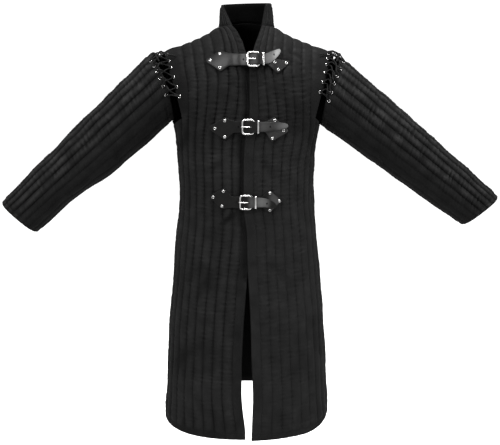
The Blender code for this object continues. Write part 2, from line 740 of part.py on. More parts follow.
def ring_profile_object(name, place, normal, profile, segments, finish):
    """A turned piece on an axis: profile points are (radius, height)."""
    turn = normal.to_track_quat("Z", "Y").to_matrix()
    points, faces, count = [], [], len(profile)
    for k in range(segments):
        angle = 2 * math.pi * k / segments
        for radius, height in profile:
            local = Vector((radius * math.cos(angle), radius * math.sin(angle), height))
            points.append(place + turn @ local)
    for k in range(segments):
        a, b = k * count, (k + 1) % segments * count
        for m in range(count):
            n = (m + 1) % count
            faces.append((a + m, b + m, b + n, a + n))
    return add_object(name, points, faces, finish)


def make_eyelet(name, place, normal):
    profile = (
        (EYELET_HOLE, 0.0),
        (EYELET_OUTER, 0.0),
        (EYELET_OUTER - 0.0009, EYELET_HEIGHT),
        (EYELET_HOLE + 0.0004, EYELET_HEIGHT),
    )
    return ring_profile_object(name, place, normal, profile, 10, "nickel")


def make_tube(name, route, radius, finish):
    curve = bpy.data.curves.new(name, "CURVE")
    curve.dimensions = "3D"
    curve.bevel_depth = radius
    curve.bevel_resolution = 2
    curve.use_fill_caps = True
    spline = curve.splines.new("POLY")
    spline.points.add(len(route) - 1)
    for point, place in zip(spline.points, route):
        point.co = (*place, 1.0)
    obj = bpy.data.objects.new(name, curve)
    bpy.context.scene.collection.objects.link(obj)
    curve.materials.append(material(finish, name))
    return obj


def over_gap(name, face, pair, lift):
    """A point over the middle of the gap, and the directions across to the sleeve and outwards."""
    body, body_normal = beside_armhole(name, face, pair, 0, 0)
    head, head_normal = beside_head(name, face, pair, 0, 0)
    outward = (body_normal + head_normal).normalized()
    return body.lerp(head, 0.5) + outward * lift, (head - body).normalized(), outward


def lace_route(name, face):
    """One lace: a tail, down one zigzag, straight across, up the other, and a tail."""
    sides = (beside_armhole, beside_head)
    last = len(EYELETS[name]["levels"]) - 1

    def turn_round(side, pair, going):
        """Round an eyelet; going is 1 on the way down and -1 on the way up."""
        before, after = (LACE_TURN, LACE_TURN) if 0 < pair else (0, 0)
        if pair == last:
            before, after = (LACE_TURN, 0) if going > 0 else (0, LACE_TURN)
        points = []
        if before:
            points.append(side(name, face, pair - going * before, EYELET_INSET - 0.002, LACE_LIFT)[0])
        points.append(side(name, face, pair, EYELET_INSET + 0.001, LACE_LIFT)[0])
        if after:
            points.append(side(name, face, pair + going * after, EYELET_INSET - 0.002, LACE_LIFT)[0])
        return points

    def strand(side, pair, going, lift):
        """Over the gap from one side's edge to the other side's."""
        other = sides[1 - sides.index(side)]
        return [
            side(name, face, pair + going * 0.27, 0.0, LACE_RIM_LIFT)[0],
            over_gap(name, face, pair + going * 0.5, lift)[0],
            other(name, face, pair + going * 0.73, 0.0, LACE_RIM_LIFT)[0],
        ]

    low, high = LACE_RIM_LIFT + LACE_MID_LIFT, LACE_RIM_LIFT + LACE_MID_LIFT + LACE_CROSSING
    middle = []
    for pair in range(last):
        middle += turn_round(sides[pair % 2], pair, 1)
        middle += strand(sides[pair % 2], pair, 1, low)
    middle += turn_round(sides[last % 2], last, 1)
    middle.append(over_gap(name, face, last, low)[0])
    for pair in range(last, 0, -1):
        side = sides[(pair + 1) % 2]
        middle += turn_round(side, pair, -1)
        middle += strand(side, pair, -1, high)
    middle += turn_round(sides[1], 0, -1)

    knot, across, outward = over_gap(name, face, KNOT_PAIR, 0)
    up = (over_gap(name, face, 0, 0)[0] - over_gap(name, face, 1, 0)[0]).normalized()

    def by_knot(a, b, c):
        return knot + (across * a + up * b + outward * c) / 1000

    free_end = beside_armhole(name, face, 0.4, 0.034, CROWN - SEAM_CROWN + LACE_RADIUS + SEAT_GAP)[0]
    tail_a = [free_end] + [by_knot(*row) for row in KNOT_TAIL_A]
    tail_b = [by_knot(*row) for row in KNOT_TAIL_B]
    tail_b += [over_gap(name, face, pair, height)[0] for pair, height in TAIL_DROP]
    return tail_a + middle + tail_b


def make_lacing(fronts, sleeves):
    for name in SLEEVES:
        rows = (
            ("body", beside_armhole, surface_of(fronts[name])),
            ("sleeve", beside_head, surface_of(sleeves[name])),
        )
        for piece, beside, tree in rows:
            for k in range(EYELETS_SHOWN):
                place, outward = beside(name, "front", k, EYELET_INSET, 0)
                seated = seat(tree, place, outward, EYELET_OUTER)
                make_eyelet(f"eyelet_{piece}_{name}_{k + 1}", *seated)
        for face in ("front", "back"):
            make_tube(f"lace_{name}_{face}", lace_route(name, face), LACE_RADIUS, "lace_cotton")


# ---- straps and buckles ----


def over_cloth(closure, u, v, lift):
    """A point over the quilting's crowns: u to the wearer's left, v up, from the buckle's middle."""
    x, z = closure["x"] + u, closure["z"] + v
    step = 0.001
    y = float(depth_at("front", x, z))
    slope_x = (float(depth_at("front", x + step, z)) - float(depth_at("front", x - step, z))) / (2 * step)
    slope_z = (float(depth_at("front", x, z + step)) - float(depth_at("front", x, z - step))) / (2 * step)
    normal = Vector((-slope_x, -1, -slope_z)).normalized()
    return Vector((x, -y, z)) + normal * (CROWN + lift)


def buckle_frame(closure):
    """The rigid frame at the buckle's middle: axes across, up and outwards."""
    middle = over_cloth(closure, 0, 0, 0)
    across = (over_cloth(closure, 0.012, 0, 0) - over_cloth(closure, -0.012, 0, 0)).normalized()
    up = (over_cloth(closure, 0, 0.012, 0) - over_cloth(closure, 0, -0.012, 0)).normalized()
    outward = across.cross(up).normalized()
    up = outward.cross(across).normalized()
    return Matrix((
        (across.x, up.x, outward.x, middle.x),
        (across.y, up.y, outward.y, middle.y),
        (across.z, up.z, outward.z, middle.z),
        (0, 0, 0, 1),
    ))


def over_front(closure, u, v, lift):
    """As over_cloth, but flat about the buckle, which holds the leather straight."""
    cloth = over_cloth(closure, u, v, lift)
    flat = buckle_frame(closure) @ Vector((u, v, lift))
    return flat.lerp(cloth, float(smoothstep((abs(u) - FLAT_REACH) / FLAT_FADE)))


def leather_strip(name, closure, stations):
    """A strip of leather over the cloth: stations are (u, middle v, half width, lift, lean along u)."""
    points, faces, rows = [], [], []
    for u, middle, half, lift, lean in stations:
        row = []
        for part in (-1, 0, 1):
            for height in (lift, lift + LEATHER):
                row.append(len(points))
                points.append(over_front(closure, u + lean * part, middle + half * part, height))
        rows.append(row)
    for a, b in zip(rows, rows[1:]):
        for m in (0, 2):
            faces.append((a[m], a[m + 2], b[m + 2], b[m]))
            faces.append((a[m + 1], b[m + 1], b[m + 3], a[m + 3]))
        faces.append((a[0], b[0], b[1], a[1]))
        faces.append((a[4], a[5], b[5], b[4]))
    for row in (rows[0], rows[-1]):
        faces.append((row[0], row[1], row[3], row[5], row[4], row[2]))
    return add_object(name, points, faces, "black_leather")


def kite_stations(closure, key, neck_half):
    """The riveted base, from its point in to its neck."""
    kite = closure[key]
    side = -1 if key == "left" else 1
    half = kite["half"] + CORNER_MARGIN
    point = ((1.0, 0.003 / half), (0.5, 0.54), (0.0, 1.0))  # share of the way out, share of the half width
    rows = []
    for out, wide in point:
        u = kite["u"] + (kite["point_u"] - kite["u"]) * out
        lean = kite["lean"] * (1 - out)
        rows.append((u, kite["v"] + (kite["point_v"] - kite["v"]) * out, half * wide, REST, lean))
    for back, flare in ((0.006, 0.72), (0.013, 0.34), (0.022, 0.0)):  # distance in, share of the flare left
        share = float(smoothstep(1 - back / 0.022))
        wide = neck_half + (half - neck_half) * flare
        rows.append((kite["u"] - side * back, kite["v"] * share, wide, REST, kite["lean"] * share))
    return rows


def strap_stations(closure):
    run = (  # distance from the buckle's middle, half width, lift
        (-0.024, STRAP_HALF, NECK_REST),
        (-0.014, STRAP_HALF, NECK_REST),
        (-0.007, STRAP_HALF, NECK_REST + 0.0008),
        (0.001, STRAP_HALF, NECK_REST + 0.0034),
        (0.008, STRAP_HALF, OVER_BAR - 0.0012),
        (0.0125, STRAP_HALF, OVER_BAR),
        (0.0175, STRAP_HALF, OVER_BAR - 0.0002),
        (KEEPER_U - 0.003, STRAP_HALF - 0.0012, NECK_REST + LEATHER + 0.0016),
        (KEEPER_U + 0.004, STRAP_HALF - 0.0018, NECK_REST + LEATHER + 0.0007),
    )
    middle = [(u, 0.0, half, lift, 0.0) for u, half, lift in run]
    start = KEEPER_U + 0.004
    tail = []
    for share, rise, half in closure["tail"]:
        lift = REST + LEATHER + TAIL_LIFT + 0.0012 * max(0.0, 1 - share / 0.5)
        tail.append((start + (closure["tip"] - start) * share, rise, half, lift, 0.0))
    return kite_stations(closure, "left", STRAP_HALF) + middle + tail


def base_stations(closure):
    neck_half = 0.0122
    neck = [(u, 0.0, neck_half, NECK_REST, 0.0) for u in (KEEPER_U + 0.005, 0.018, 0.0095)]
    return kite_stations(closure, "right", neck_half) + neck


def cut_prong_hole(strap, closure):
    """The oblong hole through which the prong comes up."""
    frame = buckle_frame(closure)
    bpy.ops.mesh.primitive_cube_add(size=1)
    cutter = bpy.context.active_object
    cutter.name = f"cutter_{strap.name}"
    cutter.matrix_world = frame @ Matrix.Translation((0.0045, 0, 0.006)) @ Matrix.Diagonal(
        (0.0125, 0.0042, 0.03, 1)
    )
    cutter.hide_render = True
    cutter.display_type = "WIRE"
    cut = strap.modifiers.new("prong_hole", "BOOLEAN")
    cut.operation = "DIFFERENCE"
    cut.solver = "EXACT"
    cut.object = cutter


def swept_loop(name, centres, section, frame, finish):
    """A closed loop: at each centre (u, v), a section of (outwards from the loop, up) points."""
    points, faces = [], []
    count, size = len(centres), len(section)
    for k, (u, v) in enumerate(centres):
        before, after = centres[k - 1], centres[(k + 1) % count]
        run = Vector((after[0] - before[0], after[1] - before[1], 0)).normalized()
        out = Vector((run.y, -run.x, 0))
        for a, h in section:
            points.append(frame @ (Vector((u, v, 0)) + out * a + Vector((0, 0, h))))
    for k in range(count):
        a, b = k * size, (k + 1) % count * size
        for m in range(size):
            n = (m + 1) % size
            faces.append((a + m, b + m, b + n, a + n))
    return add_object(name, points, faces, finish)


def rounded_rectangle(half_u, half_v, radius, per_corner):
    """Points round a rectangle with round corners, anticlockwise."""
    points = []
    for k, (su, sv) in enumerate(((1, 1), (-1, 1), (-1, -1), (1, -1))):
        for m in range(per_corner):
            angle = math.pi / 2 * (k + m / (per_corner - 1))
            points.append((su * (half_u - radius) + radius * math.cos(angle),
                           sv * (half_v - radius) + radius * math.sin(angle)))
    return points


def make_buckle(number, closure):
    frame = buckle_frame(closure)
    centres = rounded_rectangle(BUCKLE_HALF_U, BUCKLE_HALF_V, 0.006, 4)
    wire = [(BUCKLE_WIRE * math.cos(a), BUCKLE_LEVEL + BUCKLE_WIRE * math.sin(a))
            for a in (2 * math.pi * k / 6 for k in range(6))]
    swept_loop(f"buckle_{number}", centres, wire, frame, "nickel")
    half_v, low = STRAP_HALF + 0.0014, 0.0004
    high = NECK_REST + 2 * LEATHER + 0.0024 + KEEPER_SHEET
    loop = rounded_rectangle(half_v, (high - low) / 2 - KEEPER_SHEET / 2, 0.0016, 3)
    turned = frame @ Matrix.Translation((KEEPER_U, 0, (high + low) / 2)) @ Matrix((
        (0, 0, 1, 0), (1, 0, 0, 0), (0, 1, 0, 0), (0, 0, 0, 1)))
    band = [(KEEPER_SHEET / 2, KEEPER_BAND / 2), (-KEEPER_SHEET / 2, KEEPER_BAND / 2),
            (-KEEPER_SHEET / 2, -KEEPER_BAND / 2), (KEEPER_SHEET / 2, -KEEPER_BAND / 2)]
    swept_loop(f"keeper_{number}", loop, band, turned, "nickel")
    over_front_bar = BUCKLE_LEVEL + BUCKLE_WIRE + 0.0004 + PRONG_RADIUS
    knots = ((0.0112, 0, BUCKLE_LEVEL - 0.0002), (0.006, 0, BUCKLE_LEVEL + 0.0012),
             (-0.002, 0, over_front_bar - 0.0006), (-0.010, 0, over_front_bar),
             (-BUCKLE_HALF_U, 0, over_front_bar), (-BUCKLE_HALF_U - 0.0032, 0, over_front_bar - 0.0004))
    route = [frame @ Vector(p) for p in knots]
    make_tube(f"prong_{number}", route, PRONG_RADIUS, "nickel")


def rivet_places(closure):
    """(u, v) of the three rivets on each base, the wearer's right base first."""
    places = []
    for key, side in (("left", -1), ("right", 1)):
        kite = closure[key]
        slope = (kite["point_v"] - kite["v"]) / (kite["point_u"] - kite["u"])
        for out, up in ((0.0, kite["half"]), (RIVET_FROM_CORNER, 0.0), (0.0, -kite["half"])):
            lean = kite["lean"] * np.sign(up)
            places.append((kite["u"] + side * (out + 0.001) + lean, kite["v"] + slope * side * out + up))
    return places


def make_rivets(number, closure, strap, base):
    trees = [surface_of(strap), surface_of(base)]
    for k, (u, v) in enumerate(rivet_places(closure)):
        place = over_cloth(closure, u, v, 0)
        outward = (over_cloth(closure, u, v, 1) - place).normalized()
        make_dome(f"rivet_{number}_{k + 1}", *seat(trees[k // 3], place, outward, RIVET_RADIUS))


def make_dome(name, place, normal, segments=9):
    """A domed rivet head."""
    turn = normal.to_track_quat("Z", "Y").to_matrix()
    rings = ((RIVET_RADIUS, 0.0), (RIVET_RADIUS, 0.0006), (RIVET_RADIUS * 0.62, RIVET_HEIGHT))
    points, faces = [], []
    for radius, height in rings:
        for k in range(segments):
            angle = 2 * math.pi * k / segments
            local = Vector((radius * math.cos(angle), radius * math.sin(angle), height))
            points.append(place + turn @ local)
    for level in range(len(rings) - 1):
        for k in range(segments):
            a, b = level * segments + k, level * segments + (k + 1) % segments
            faces.append((a, b, b + segments, a + segments))
    faces.append(tuple(range(segments - 1, -1, -1)))
    faces.append(tuple(range((len(rings) - 1) * segments, len(rings) * segments)))
    return add_object(name, points, faces, "nickel")


def make_closures():
    for k, closure in enumerate(CLOSURES):
        strap = leather_strip(f"strap_{k + 1}", closure, strap_stations(closure))
        base = leather_strip(f"strap_base_{k + 1}", closure, base_stations(closure))
        make_buckle(k + 1, closure)
        make_rivets(k + 1, closure, strap, base)
        cut_prong_hole(strap, closure)


def main():
    clear_scene()
    fronts = make_body()
    make_collar()
    sleeves = {name: make_sleeve(name) for name in SLEEVES}
    make_lacing(fronts, sleeves)
    make_closures()


main()
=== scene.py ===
"""The looks of a black quilted gambeson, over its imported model.

Metres, +Z up. The front faces -Y and the wearer's left side is at +X. Each cloth piece is a closed wall
on a fine grid: its stitch surface follows the model's sizes, and its outside rises into padded channels
with small gathers beside the stitch lines and creases where the coat bends. A panel's column number p
counts its quilting lines from the front edge or the centre back out to the side seam, and its row number
q runs from 0 at the hem through 1 at the foot of the armhole to 2 at the neck and shoulder.
"""

import math

import bmesh
import bpy
import numpy as np
from mathutils import Matrix, Vector
from mathutils.bvhtree import BVHTree


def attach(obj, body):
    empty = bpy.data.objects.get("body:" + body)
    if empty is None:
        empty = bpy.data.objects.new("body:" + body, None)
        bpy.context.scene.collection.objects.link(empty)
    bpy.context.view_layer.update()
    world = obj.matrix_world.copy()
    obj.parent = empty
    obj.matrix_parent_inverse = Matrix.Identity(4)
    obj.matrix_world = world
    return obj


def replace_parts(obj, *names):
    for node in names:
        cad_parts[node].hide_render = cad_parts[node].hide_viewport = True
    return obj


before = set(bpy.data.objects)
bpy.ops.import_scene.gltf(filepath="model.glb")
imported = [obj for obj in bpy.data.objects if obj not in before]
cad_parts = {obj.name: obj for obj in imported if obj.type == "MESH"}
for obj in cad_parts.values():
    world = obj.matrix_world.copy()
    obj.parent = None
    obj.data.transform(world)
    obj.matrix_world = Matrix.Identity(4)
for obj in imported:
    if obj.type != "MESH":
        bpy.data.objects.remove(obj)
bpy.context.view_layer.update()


def mm(*rows):
    """A table in metres from its rows in millimetres."""
    return [[value / 1000 for value in row] for row in rows]


# ---- cloth ----
LINING = 0.003  # from the stitch line to the plain inside
CROWN = 0.006  # how far a padded channel stands over its stitch lines
SEAM_CROWN = 0.0022  # and where a seam or hem presses it flat
SEAT_GAP = 0.0003  # under a piece that rests on another
SEAT_REACH = 0.02  # how far over a piece the surface below is looked for
BAND = 0.027  # width of the plain front edge band
UNDERLAP_DROP = 0.0085  # how far the under front is pressed in beneath the upper one
UNDERLAP, UNDERLAP_END = (0.006, 0.0055), (0.026, 0.022)  # past the upper's edge, and its fade
UNDERLAP_FLATTER = 0.7

# ---- body ----
HEM_LEVEL = -1.149
HEM_RISE = {"right": 0.006, "left": 0.034}
HEM_RISE_FROM, HEM_RISE_POWER = 5.5, 1.5  # the line from which the hem rises, and how it bends
CORNER_DROOP, DROOP_LINES = 0.004, 4  # at the upper front's corner, and over how many lines it fades
ARM_FOOT_LEVEL = -0.235  # where the armhole is narrowest across the chest
ARM_SIDE_LEVEL = -0.266  # the armhole's lowest point, at the side seam
LINES_BEND = 0.13  # height below the armhole over which the quilting lines bend towards it
ROUNDNESS = 2.4  # exponent of the superellipse sections
SHOULDER_DROP = 0.17  # height over which the chest rounds up to the shoulder seam
SIDE_LINE = 11  # quilting lines from the front edge to the side seam
ARM_LINE = 8  # the line that ends along the armhole
NECK_LINE = 3  # the line that ends at the neck end of the shoulder seam
NECK_HALF = 0.0747

BODY = mm(  # level, half width, front depth, back depth
    (-1146, 250, 174, 198), (-1050, 239, 170, 188), (-915, 230, 164, 176), (-786, 219, 158, 165),
    (-661, 207, 151, 154), (-570, 196, 147, 146), (-500, 189, 144, 140), (-422, 185.5, 142, 136),
    (-335, 189.2, 142, 135), (-279, 195.8, 142, 136), (-200, 227, 140, 137), (-100, 248, 133, 133),
    (30, 256, 118, 123),
)
CREST = mm(  # distance from the middle, front height, back height
    (0, 30, 46), (30, 26, 39), (55, 13, 19), (74.7, -1, -1), (88, -9.5, -9.5), (110, -22.5, -22.5),
    (145, -38, -38), (181, -51.5, -51.5), (206, -59, -59), (234, -71, -71),
)
BACK_NECK_RISE = 0.011  # centre back of the neck edge above the front of it
ARMHOLE = mm(  # level, distance from the middle: right front, left front, right back, left back
    (-235, 171, 185, 198.5, 197), (-210, 176, 191, 202, 201.2), (-180, 183.5, 199, 204.5, 206.8),
    (-156, 190.5, 208, 207.5, 212.2), (-130, 200.5, 215.5, 213, 218.5), (-105, 209, 222, 221.5, 225),
    (-66, 224.5, 230.5, 224.5, 230.5),
)
EDGES = mm(  # level, front edge of the right and of the left panel, each outwards from the middle
    (-1146, 3, 14), (-1107, 4.5, 15.5), (-1080, 8, 16.3), (-1020, 13.5, 18.3), (-965, 13.4, 16.5),
    (-903, 12.4, 13.9), (-803, 7.5, 11.4), (-704, 0.2, 6.7), (-660, -4, 4), (-608, -10, 1.8),
    (-536, -16, 0), (-470, -15, -8), (-421, -15, -7.9), (-282, -19, -3.1), (-222, -29.5, 7.4),
    (-150, -29, 7.4), (-110, -22, 7.6), (-87.5, -12, 8.5), (-63, 0, 16.5), (-53, 4, 19.5), (-39, 8, 24),
    (-23.5, 16, 30.5), (-9, 24, 36), (4, 37, 40.8),
)
LINES_AT_TOP = (0.037, 0.050, 0.062, NECK_HALF, 0.100, 0.125, 0.150, 0.176, 0.2245)

# ---- collar ----
COLLAR_HEIGHT = 0.057
COLLAR_BACK_RISE = 0.008
COLLAR_TILT = 0.002  # the wearer's left side of the top stands this much higher
COLLAR_TOP_HALF, COLLAR_TOP_DEPTH, COLLAR_CENTRE_Y = 0.0665, 0.0700, 0.008
COLLAR_PITCH = 0.0125
COLLAR_QUILTING = (CROWN * 0.6, 0.0005, 0.009)  # channels' height, gathers' height and wavelength
COLLAR_SLOPES = (0.75, 0.29)  # how far each front end turns back at the top, right and left, radians
COLLAR_SLOPE_FADE = 1.25  # how quickly that fades towards the centre back

# ---- sleeves ----
SLEEVE_CHANNELS, SLEEVE_PITCH = 20, 0.0235
SLEEVE_CROWN, SLEEVE_GATHERS = CROWN * 0.95, 0.0105  # channels' height, and the gathers' wavelength
SLEEVES = {  # head and cuff centres (x, z); how far the head and cuff slant, and the head's sides bulge
    # towards the coat, with its lap under the front; pucker is the height of the gathers at the stitch lines
    "right": {
        "side": -1,
        "pucker": 0.0013,
        "head": (0.2348, -0.1605),
        "cuff": (0.6550, -0.5295),
        "head_slant": 0.042,
        "head_bulge": 0.0285,
        "back_bulge": 0.0180,
        "under_back": 0.0100,
        "front_lap": 0.012,
        "cuff_slant": 0.006,
        "sizes": (  # share of the length, upper, under, forward and rear radius
            (0.0, 0.0840, 0.0840, 0.0900, 0.0800),
            (0.22, 0.0790, 0.0825, 0.0840, 0.0800),
            (0.45, 0.0745, 0.0800, 0.0770, 0.0770),
            (0.73, 0.0680, 0.0620, 0.0660, 0.0660),
            (1.0, 0.0620, 0.0620, 0.0540, 0.0540),
        ),
    },
    "left": {
        "side": 1,
        "pucker": 0.0018,
        "head": (0.2350, -0.1730),
        "cuff": (0.6717, -0.5100),
        "head_slant": 0.038,
        "head_bulge": 0.0195,
        "back_bulge": 0.0180,
        "under_back": 0.0160,
        "front_lap": 0.006,
        "cuff_slant": 0.013,
        "sizes": (
            (0.0, 0.0860, 0.0860, 0.0800, 0.0750),
            (0.22, 0.0810, 0.0790, 0.0800, 0.0770),
            (0.45, 0.0755, 0.0745, 0.0760, 0.0760),
            (0.73, 0.0680, 0.0670, 0.0660, 0.0660),
            (1.0, 0.0600, 0.0600, 0.0540, 0.0540),
        ),
    },
}
UNDER_BACK_TURN = math.radians(142)  # where under the back the head reaches furthest in
CUFF_BOW = 0.008  # how far the cuff's front and back are set up the arm

# ---- lacing ----
EYELETS = {  # from the top down: the body's levels, and degrees round from the sleeve's top
    "right": {
        "levels": (-0.0725, -0.089, -0.105, -0.129, -0.153, -0.177),
        "turns": (38, 53, 65, 78, 92, 107),
    },
    "left": {
        "levels": (-0.0715, -0.083, -0.098, -0.118, -0.142, -0.167),
        "turns": (23, 45, 62, 76, 91, 105),
    },
}
EYELET_INSET = 0.009  # from the cloth's edge to an eyelet's middle
EYELETS_SHOWN = 4  # pairs of eyelets on each front that are solids of their own
EYELET_OUTER, EYELET_HOLE, EYELET_HEIGHT = 0.0045, 0.0027, 0.0011
LACE_RADIUS = 0.0019
LACE_LIFT = 0.0039  # from the cloth to the lace's middle at an eyelet
LACE_RIM_LIFT = 0.0057  # and where it leaves the cloth's edge
LACE_MID_LIFT = 0.0022  # and over the middle of the gap
LACE_CROSSING = 0.0048  # how far one strand rises over the other
ROUND_EYELET, BESIDE_EYELET = 0.001, -0.002  # a turn's middle and ends, inwards from the eyelet's middle
FREE_END_INSET, FREE_END_PAIR = 0.034, 0.4  # the lace's first end: from the armhole, and pairs down
STRAND = (0.27, 0.5, 0.73)  # how far to the next pair a strand leaves one rim, is half over, meets the other
LACE_STEP, PRONG_STEP = 0.0014, 0.0009  # between a tube's rings
LACE_TURN = 0.14  # half the height of a turn round an eyelet, as a share of the eyelets' spacing
KNOT_PAIR = -0.2  # the knot's place, counted in pairs of eyelets down the gap
KNOT_TAIL_A = (  # across towards the sleeve, up, outwards, in mm from the knot's middle
    (-17.0, -2.0, 8.8),
    (-7.0, 4.0, 8.6),
    (3.5, 5.0, 8.0),
    (7.5, 0.0, 7.0),
    (3.0, -6.0, 6.0),
    (-5.5, -6.0, 5.6),
)
KNOT_TAIL_B = (
    (12.0, 2.5, 8.0),
    (5.0, 1.0, 12.4),
    (-1.0, -5.0, 14.0),
)
TAIL_DROP = ((0.5, 0.0170), (0.95, 0.0135), (1.2, 0.0125))  # pair, height over the gap

# ---- straps and buckles ----
LEATHER = 0.0025
STRAP_HALF, BASE_NECK_HALF = 0.015, 0.0122
REST = 0.0009  # leather over the crowns of the quilting
NECK_REST = 0.0023  # leather where the keeper passes under it
BUCKLE_HALF_U, BUCKLE_HALF_V, BUCKLE_WIRE = 0.0145, 0.0182, 0.00175
BUCKLE_LEVEL = NECK_REST + LEATHER + 0.0005 + BUCKLE_WIRE
OVER_BAR = BUCKLE_LEVEL + BUCKLE_WIRE + 0.0009
PRONG_RADIUS = 0.0013
PRONG_ROOM = 0.0004  # between the buckle's bar and the prong
KEEPER_U, KEEPER_BAND, KEEPER_SHEET = 0.0265, 0.0042, 0.0012
RIVET_RADIUS, RIVET_HEIGHT = 0.0043, 0.0022
RIVET_FROM_CORNER = 0.025
CORNER_MARGIN = 0.009  # from a corner rivet to the leather's corner
TAIL_LIFT = 0.0014  # the strap's free end over the base
FLAT_REACH, FLAT_FADE = 0.032, 0.020  # the leather is flat this far from the buckle, then meets the cloth
STRAP_RUN = (  # the strap through the buckle: distance from its middle, half width, lift
    (-0.024, STRAP_HALF, NECK_REST),
    (-0.014, STRAP_HALF, NECK_REST),
    (-0.007, STRAP_HALF, NECK_REST + 0.0008),
    (0.001, STRAP_HALF, NECK_REST + 0.0034),
    (0.008, STRAP_HALF, OVER_BAR - 0.0012),
    (0.0125, STRAP_HALF, OVER_BAR),
    (0.0175, STRAP_HALF, OVER_BAR - 0.0002),
    (KEEPER_U - 0.003, STRAP_HALF - 0.0012, NECK_REST + LEATHER + 0.0016),
    (KEEPER_U + 0.004, STRAP_HALF - 0.0018, NECK_REST + LEATHER + 0.0007),
)
CLOSURES = (
    # Each kite: its corner rivets' middle (u, v), half their distance, its point (u, v), and how far the
    # upper corner leans along u. The tail's rows: share of its length, middle v and half width.
    {
        "x": 0.0177, "z": -0.0840,
        "left": {"u": -0.0815, "v": -0.0040, "half": 0.0165, "point_u": -0.1186, "point_v": -0.0040,
                 "lean": 0.0},
        "right": {"u": 0.0570, "v": -0.0165, "half": 0.0090, "point_u": 0.0925, "point_v": -0.0080,
                  "lean": -0.0045},
        "tail": ((0.34, 0.004, 0.0140), (0.6, 0.009, 0.0112), (0.8, 0.0135, 0.0085),
                 (0.93, 0.0165, 0.0060), (1.0, 0.018, 0.0025)),
        "tip": 0.068,
    },
    {
        "x": 0.0048, "z": -0.2512,
        "left": {"u": -0.0590, "v": -0.0055, "half": 0.0210, "point_u": -0.1010, "point_v": -0.0037,
                 "lean": 0.0},
        "right": {"u": 0.0640, "v": -0.0072, "half": 0.0230, "point_u": 0.1020, "point_v": -0.0115,
                  "lean": 0.003},
        "tail": ((0.35, 0.0005, 0.0118), (0.65, 0.001, 0.0098), (0.84, 0.002, 0.0080),
                 (0.95, 0.002, 0.0056), (1.0, 0.002, 0.0025)),
        "tip": 0.102,
    },
    {
        "x": -0.0015, "z": -0.4520,
        "left": {"u": -0.0590, "v": 0.0087, "half": 0.0204, "point_u": -0.0940, "point_v": 0.0126,
                 "lean": 0.002},
        "right": {"u": 0.0620, "v": 0.0005, "half": 0.0229, "point_u": 0.0900, "point_v": 0.0010,
                  "lean": 0.0},
        "tail": ((0.35, -0.001, 0.0125), (0.65, -0.005, 0.0112), (0.84, -0.0085, 0.0088),
                 (0.95, -0.011, 0.0060), (1.0, -0.0115, 0.0025)),
        "tip": 0.080,
    },
)

# ---- fine surface ----
EDGE_ROLL = 0.0035  # how far in from an edge the cloth rolls over
SEAM_LAP = 0.0002  # how far each side of a seam reaches past its middle, so no light shows through
COLLAR_SINK = 0.002  # how far the collar's foot is set down into the neck seam
CHANNEL_PITCH = 0.0255
PLUMPNESS = 0.62  # exponent of a channel's section; a lower one is fuller
SWELL, FINE_SWELL, LEAN = (0.10, 0.085), (0.05, 0.03), (0.05, 0.10)  # share of a channel, wavelength
GATHER_REACH, GATHER_RISE, LEAST_GATHER = 6.5, 1.5, 0.25  # beside a stitch line, in mm, and share on it
LEAST_HEIGHT = 0.0003
FRONT_STITCH, FRONT_GROOVE_HALF = 0.0045, 0.0011  # from the front edge, and half width of its groove
GROOVE_BELOW = 1.995  # row number at which that groove ends
HEM_BAND, TOP_BAND, SLEEVE_HEAD_BAND, CUFF_BAND = 0.018, 0.005, 0.017, 0.013
TOP_CROWN, SLEEVE_END_CROWN = 0.0042, 0.0034  # height of the quilting at the shoulder seam and sleeve ends
TOP_FLATTENING, TOP_FROM = 0.3, 1.7  # share of the quilting's height lost at the top, and from which row
BODY_GROOVE, SLEEVE_GROOVE, GROOVE_HALF = 0.0011, 0.0010, 0.0012  # depths and half width beside stitches
BODY_PUCKER, V_GATHERS = 0.0010, 0.0019  # height of the gathers at the stitch lines, and beside the open neck
V_GATHER_LENGTH = 0.013
BODY_UNEVENNESS, SLEEVE_UNEVENNESS = 0.0012, 0.0013
UNEVEN_LENGTH, UNEVEN_ACROSS = 0.16, 0.6  # the body's: wavelength, and how much longer it is across
SLEEVE_UNEVEN_LENGTH, SLEEVE_UNEVEN_RADIUS = 0.10, 0.06
PLAIN_CROWN = CROWN * 0.76  # height of the cloth where its quilting hardly shows
PLAIN_BELOW, PLAIN_FADE = 0.9, 0.2  # row number below which a skirt is plainer
ARM_FLAT_FADE = 0.12  # row numbers over which the quilting next to the armhole turns flat
V_LEVEL, V_FADE = -0.16, 0.06  # the front bands gather above this level
BODY_FADE, SLEEVE_FADE = 0.014, 0.012  # how far from a flat band the quilting is whole
DENT_BOW, DENT_HALF = 0.012, 0.010  # how far a sleeve's dents bend round it, and their half width
PLAIN_UNDERSIDE = 0.65  # how much flatter the sleeves' quilting is underneath
UNDERSIDE_FROM, UNDERSIDE_FADE = 0.25, 0.75  # cosine from the sleeve's top
BACK_LAP = mm(  # level, how far the back's armhole edge reaches on past the model's behind the laces
    (-266, 4), (-235, 6), (-200, 8), (-150, 9.5), (-105, 13), (-85, 12), (-66, 2), (-40, 0),
)
HEAD_LAP = 0.010  # how far the sleeve heads' upper backs reach on towards the coat
HEAD_LAP_TURN = math.radians(42)  # where they do, back from the sleeve's top
FRONT_LAP_TURN = math.radians(152)  # where the heads' lower fronts do, forwards from it

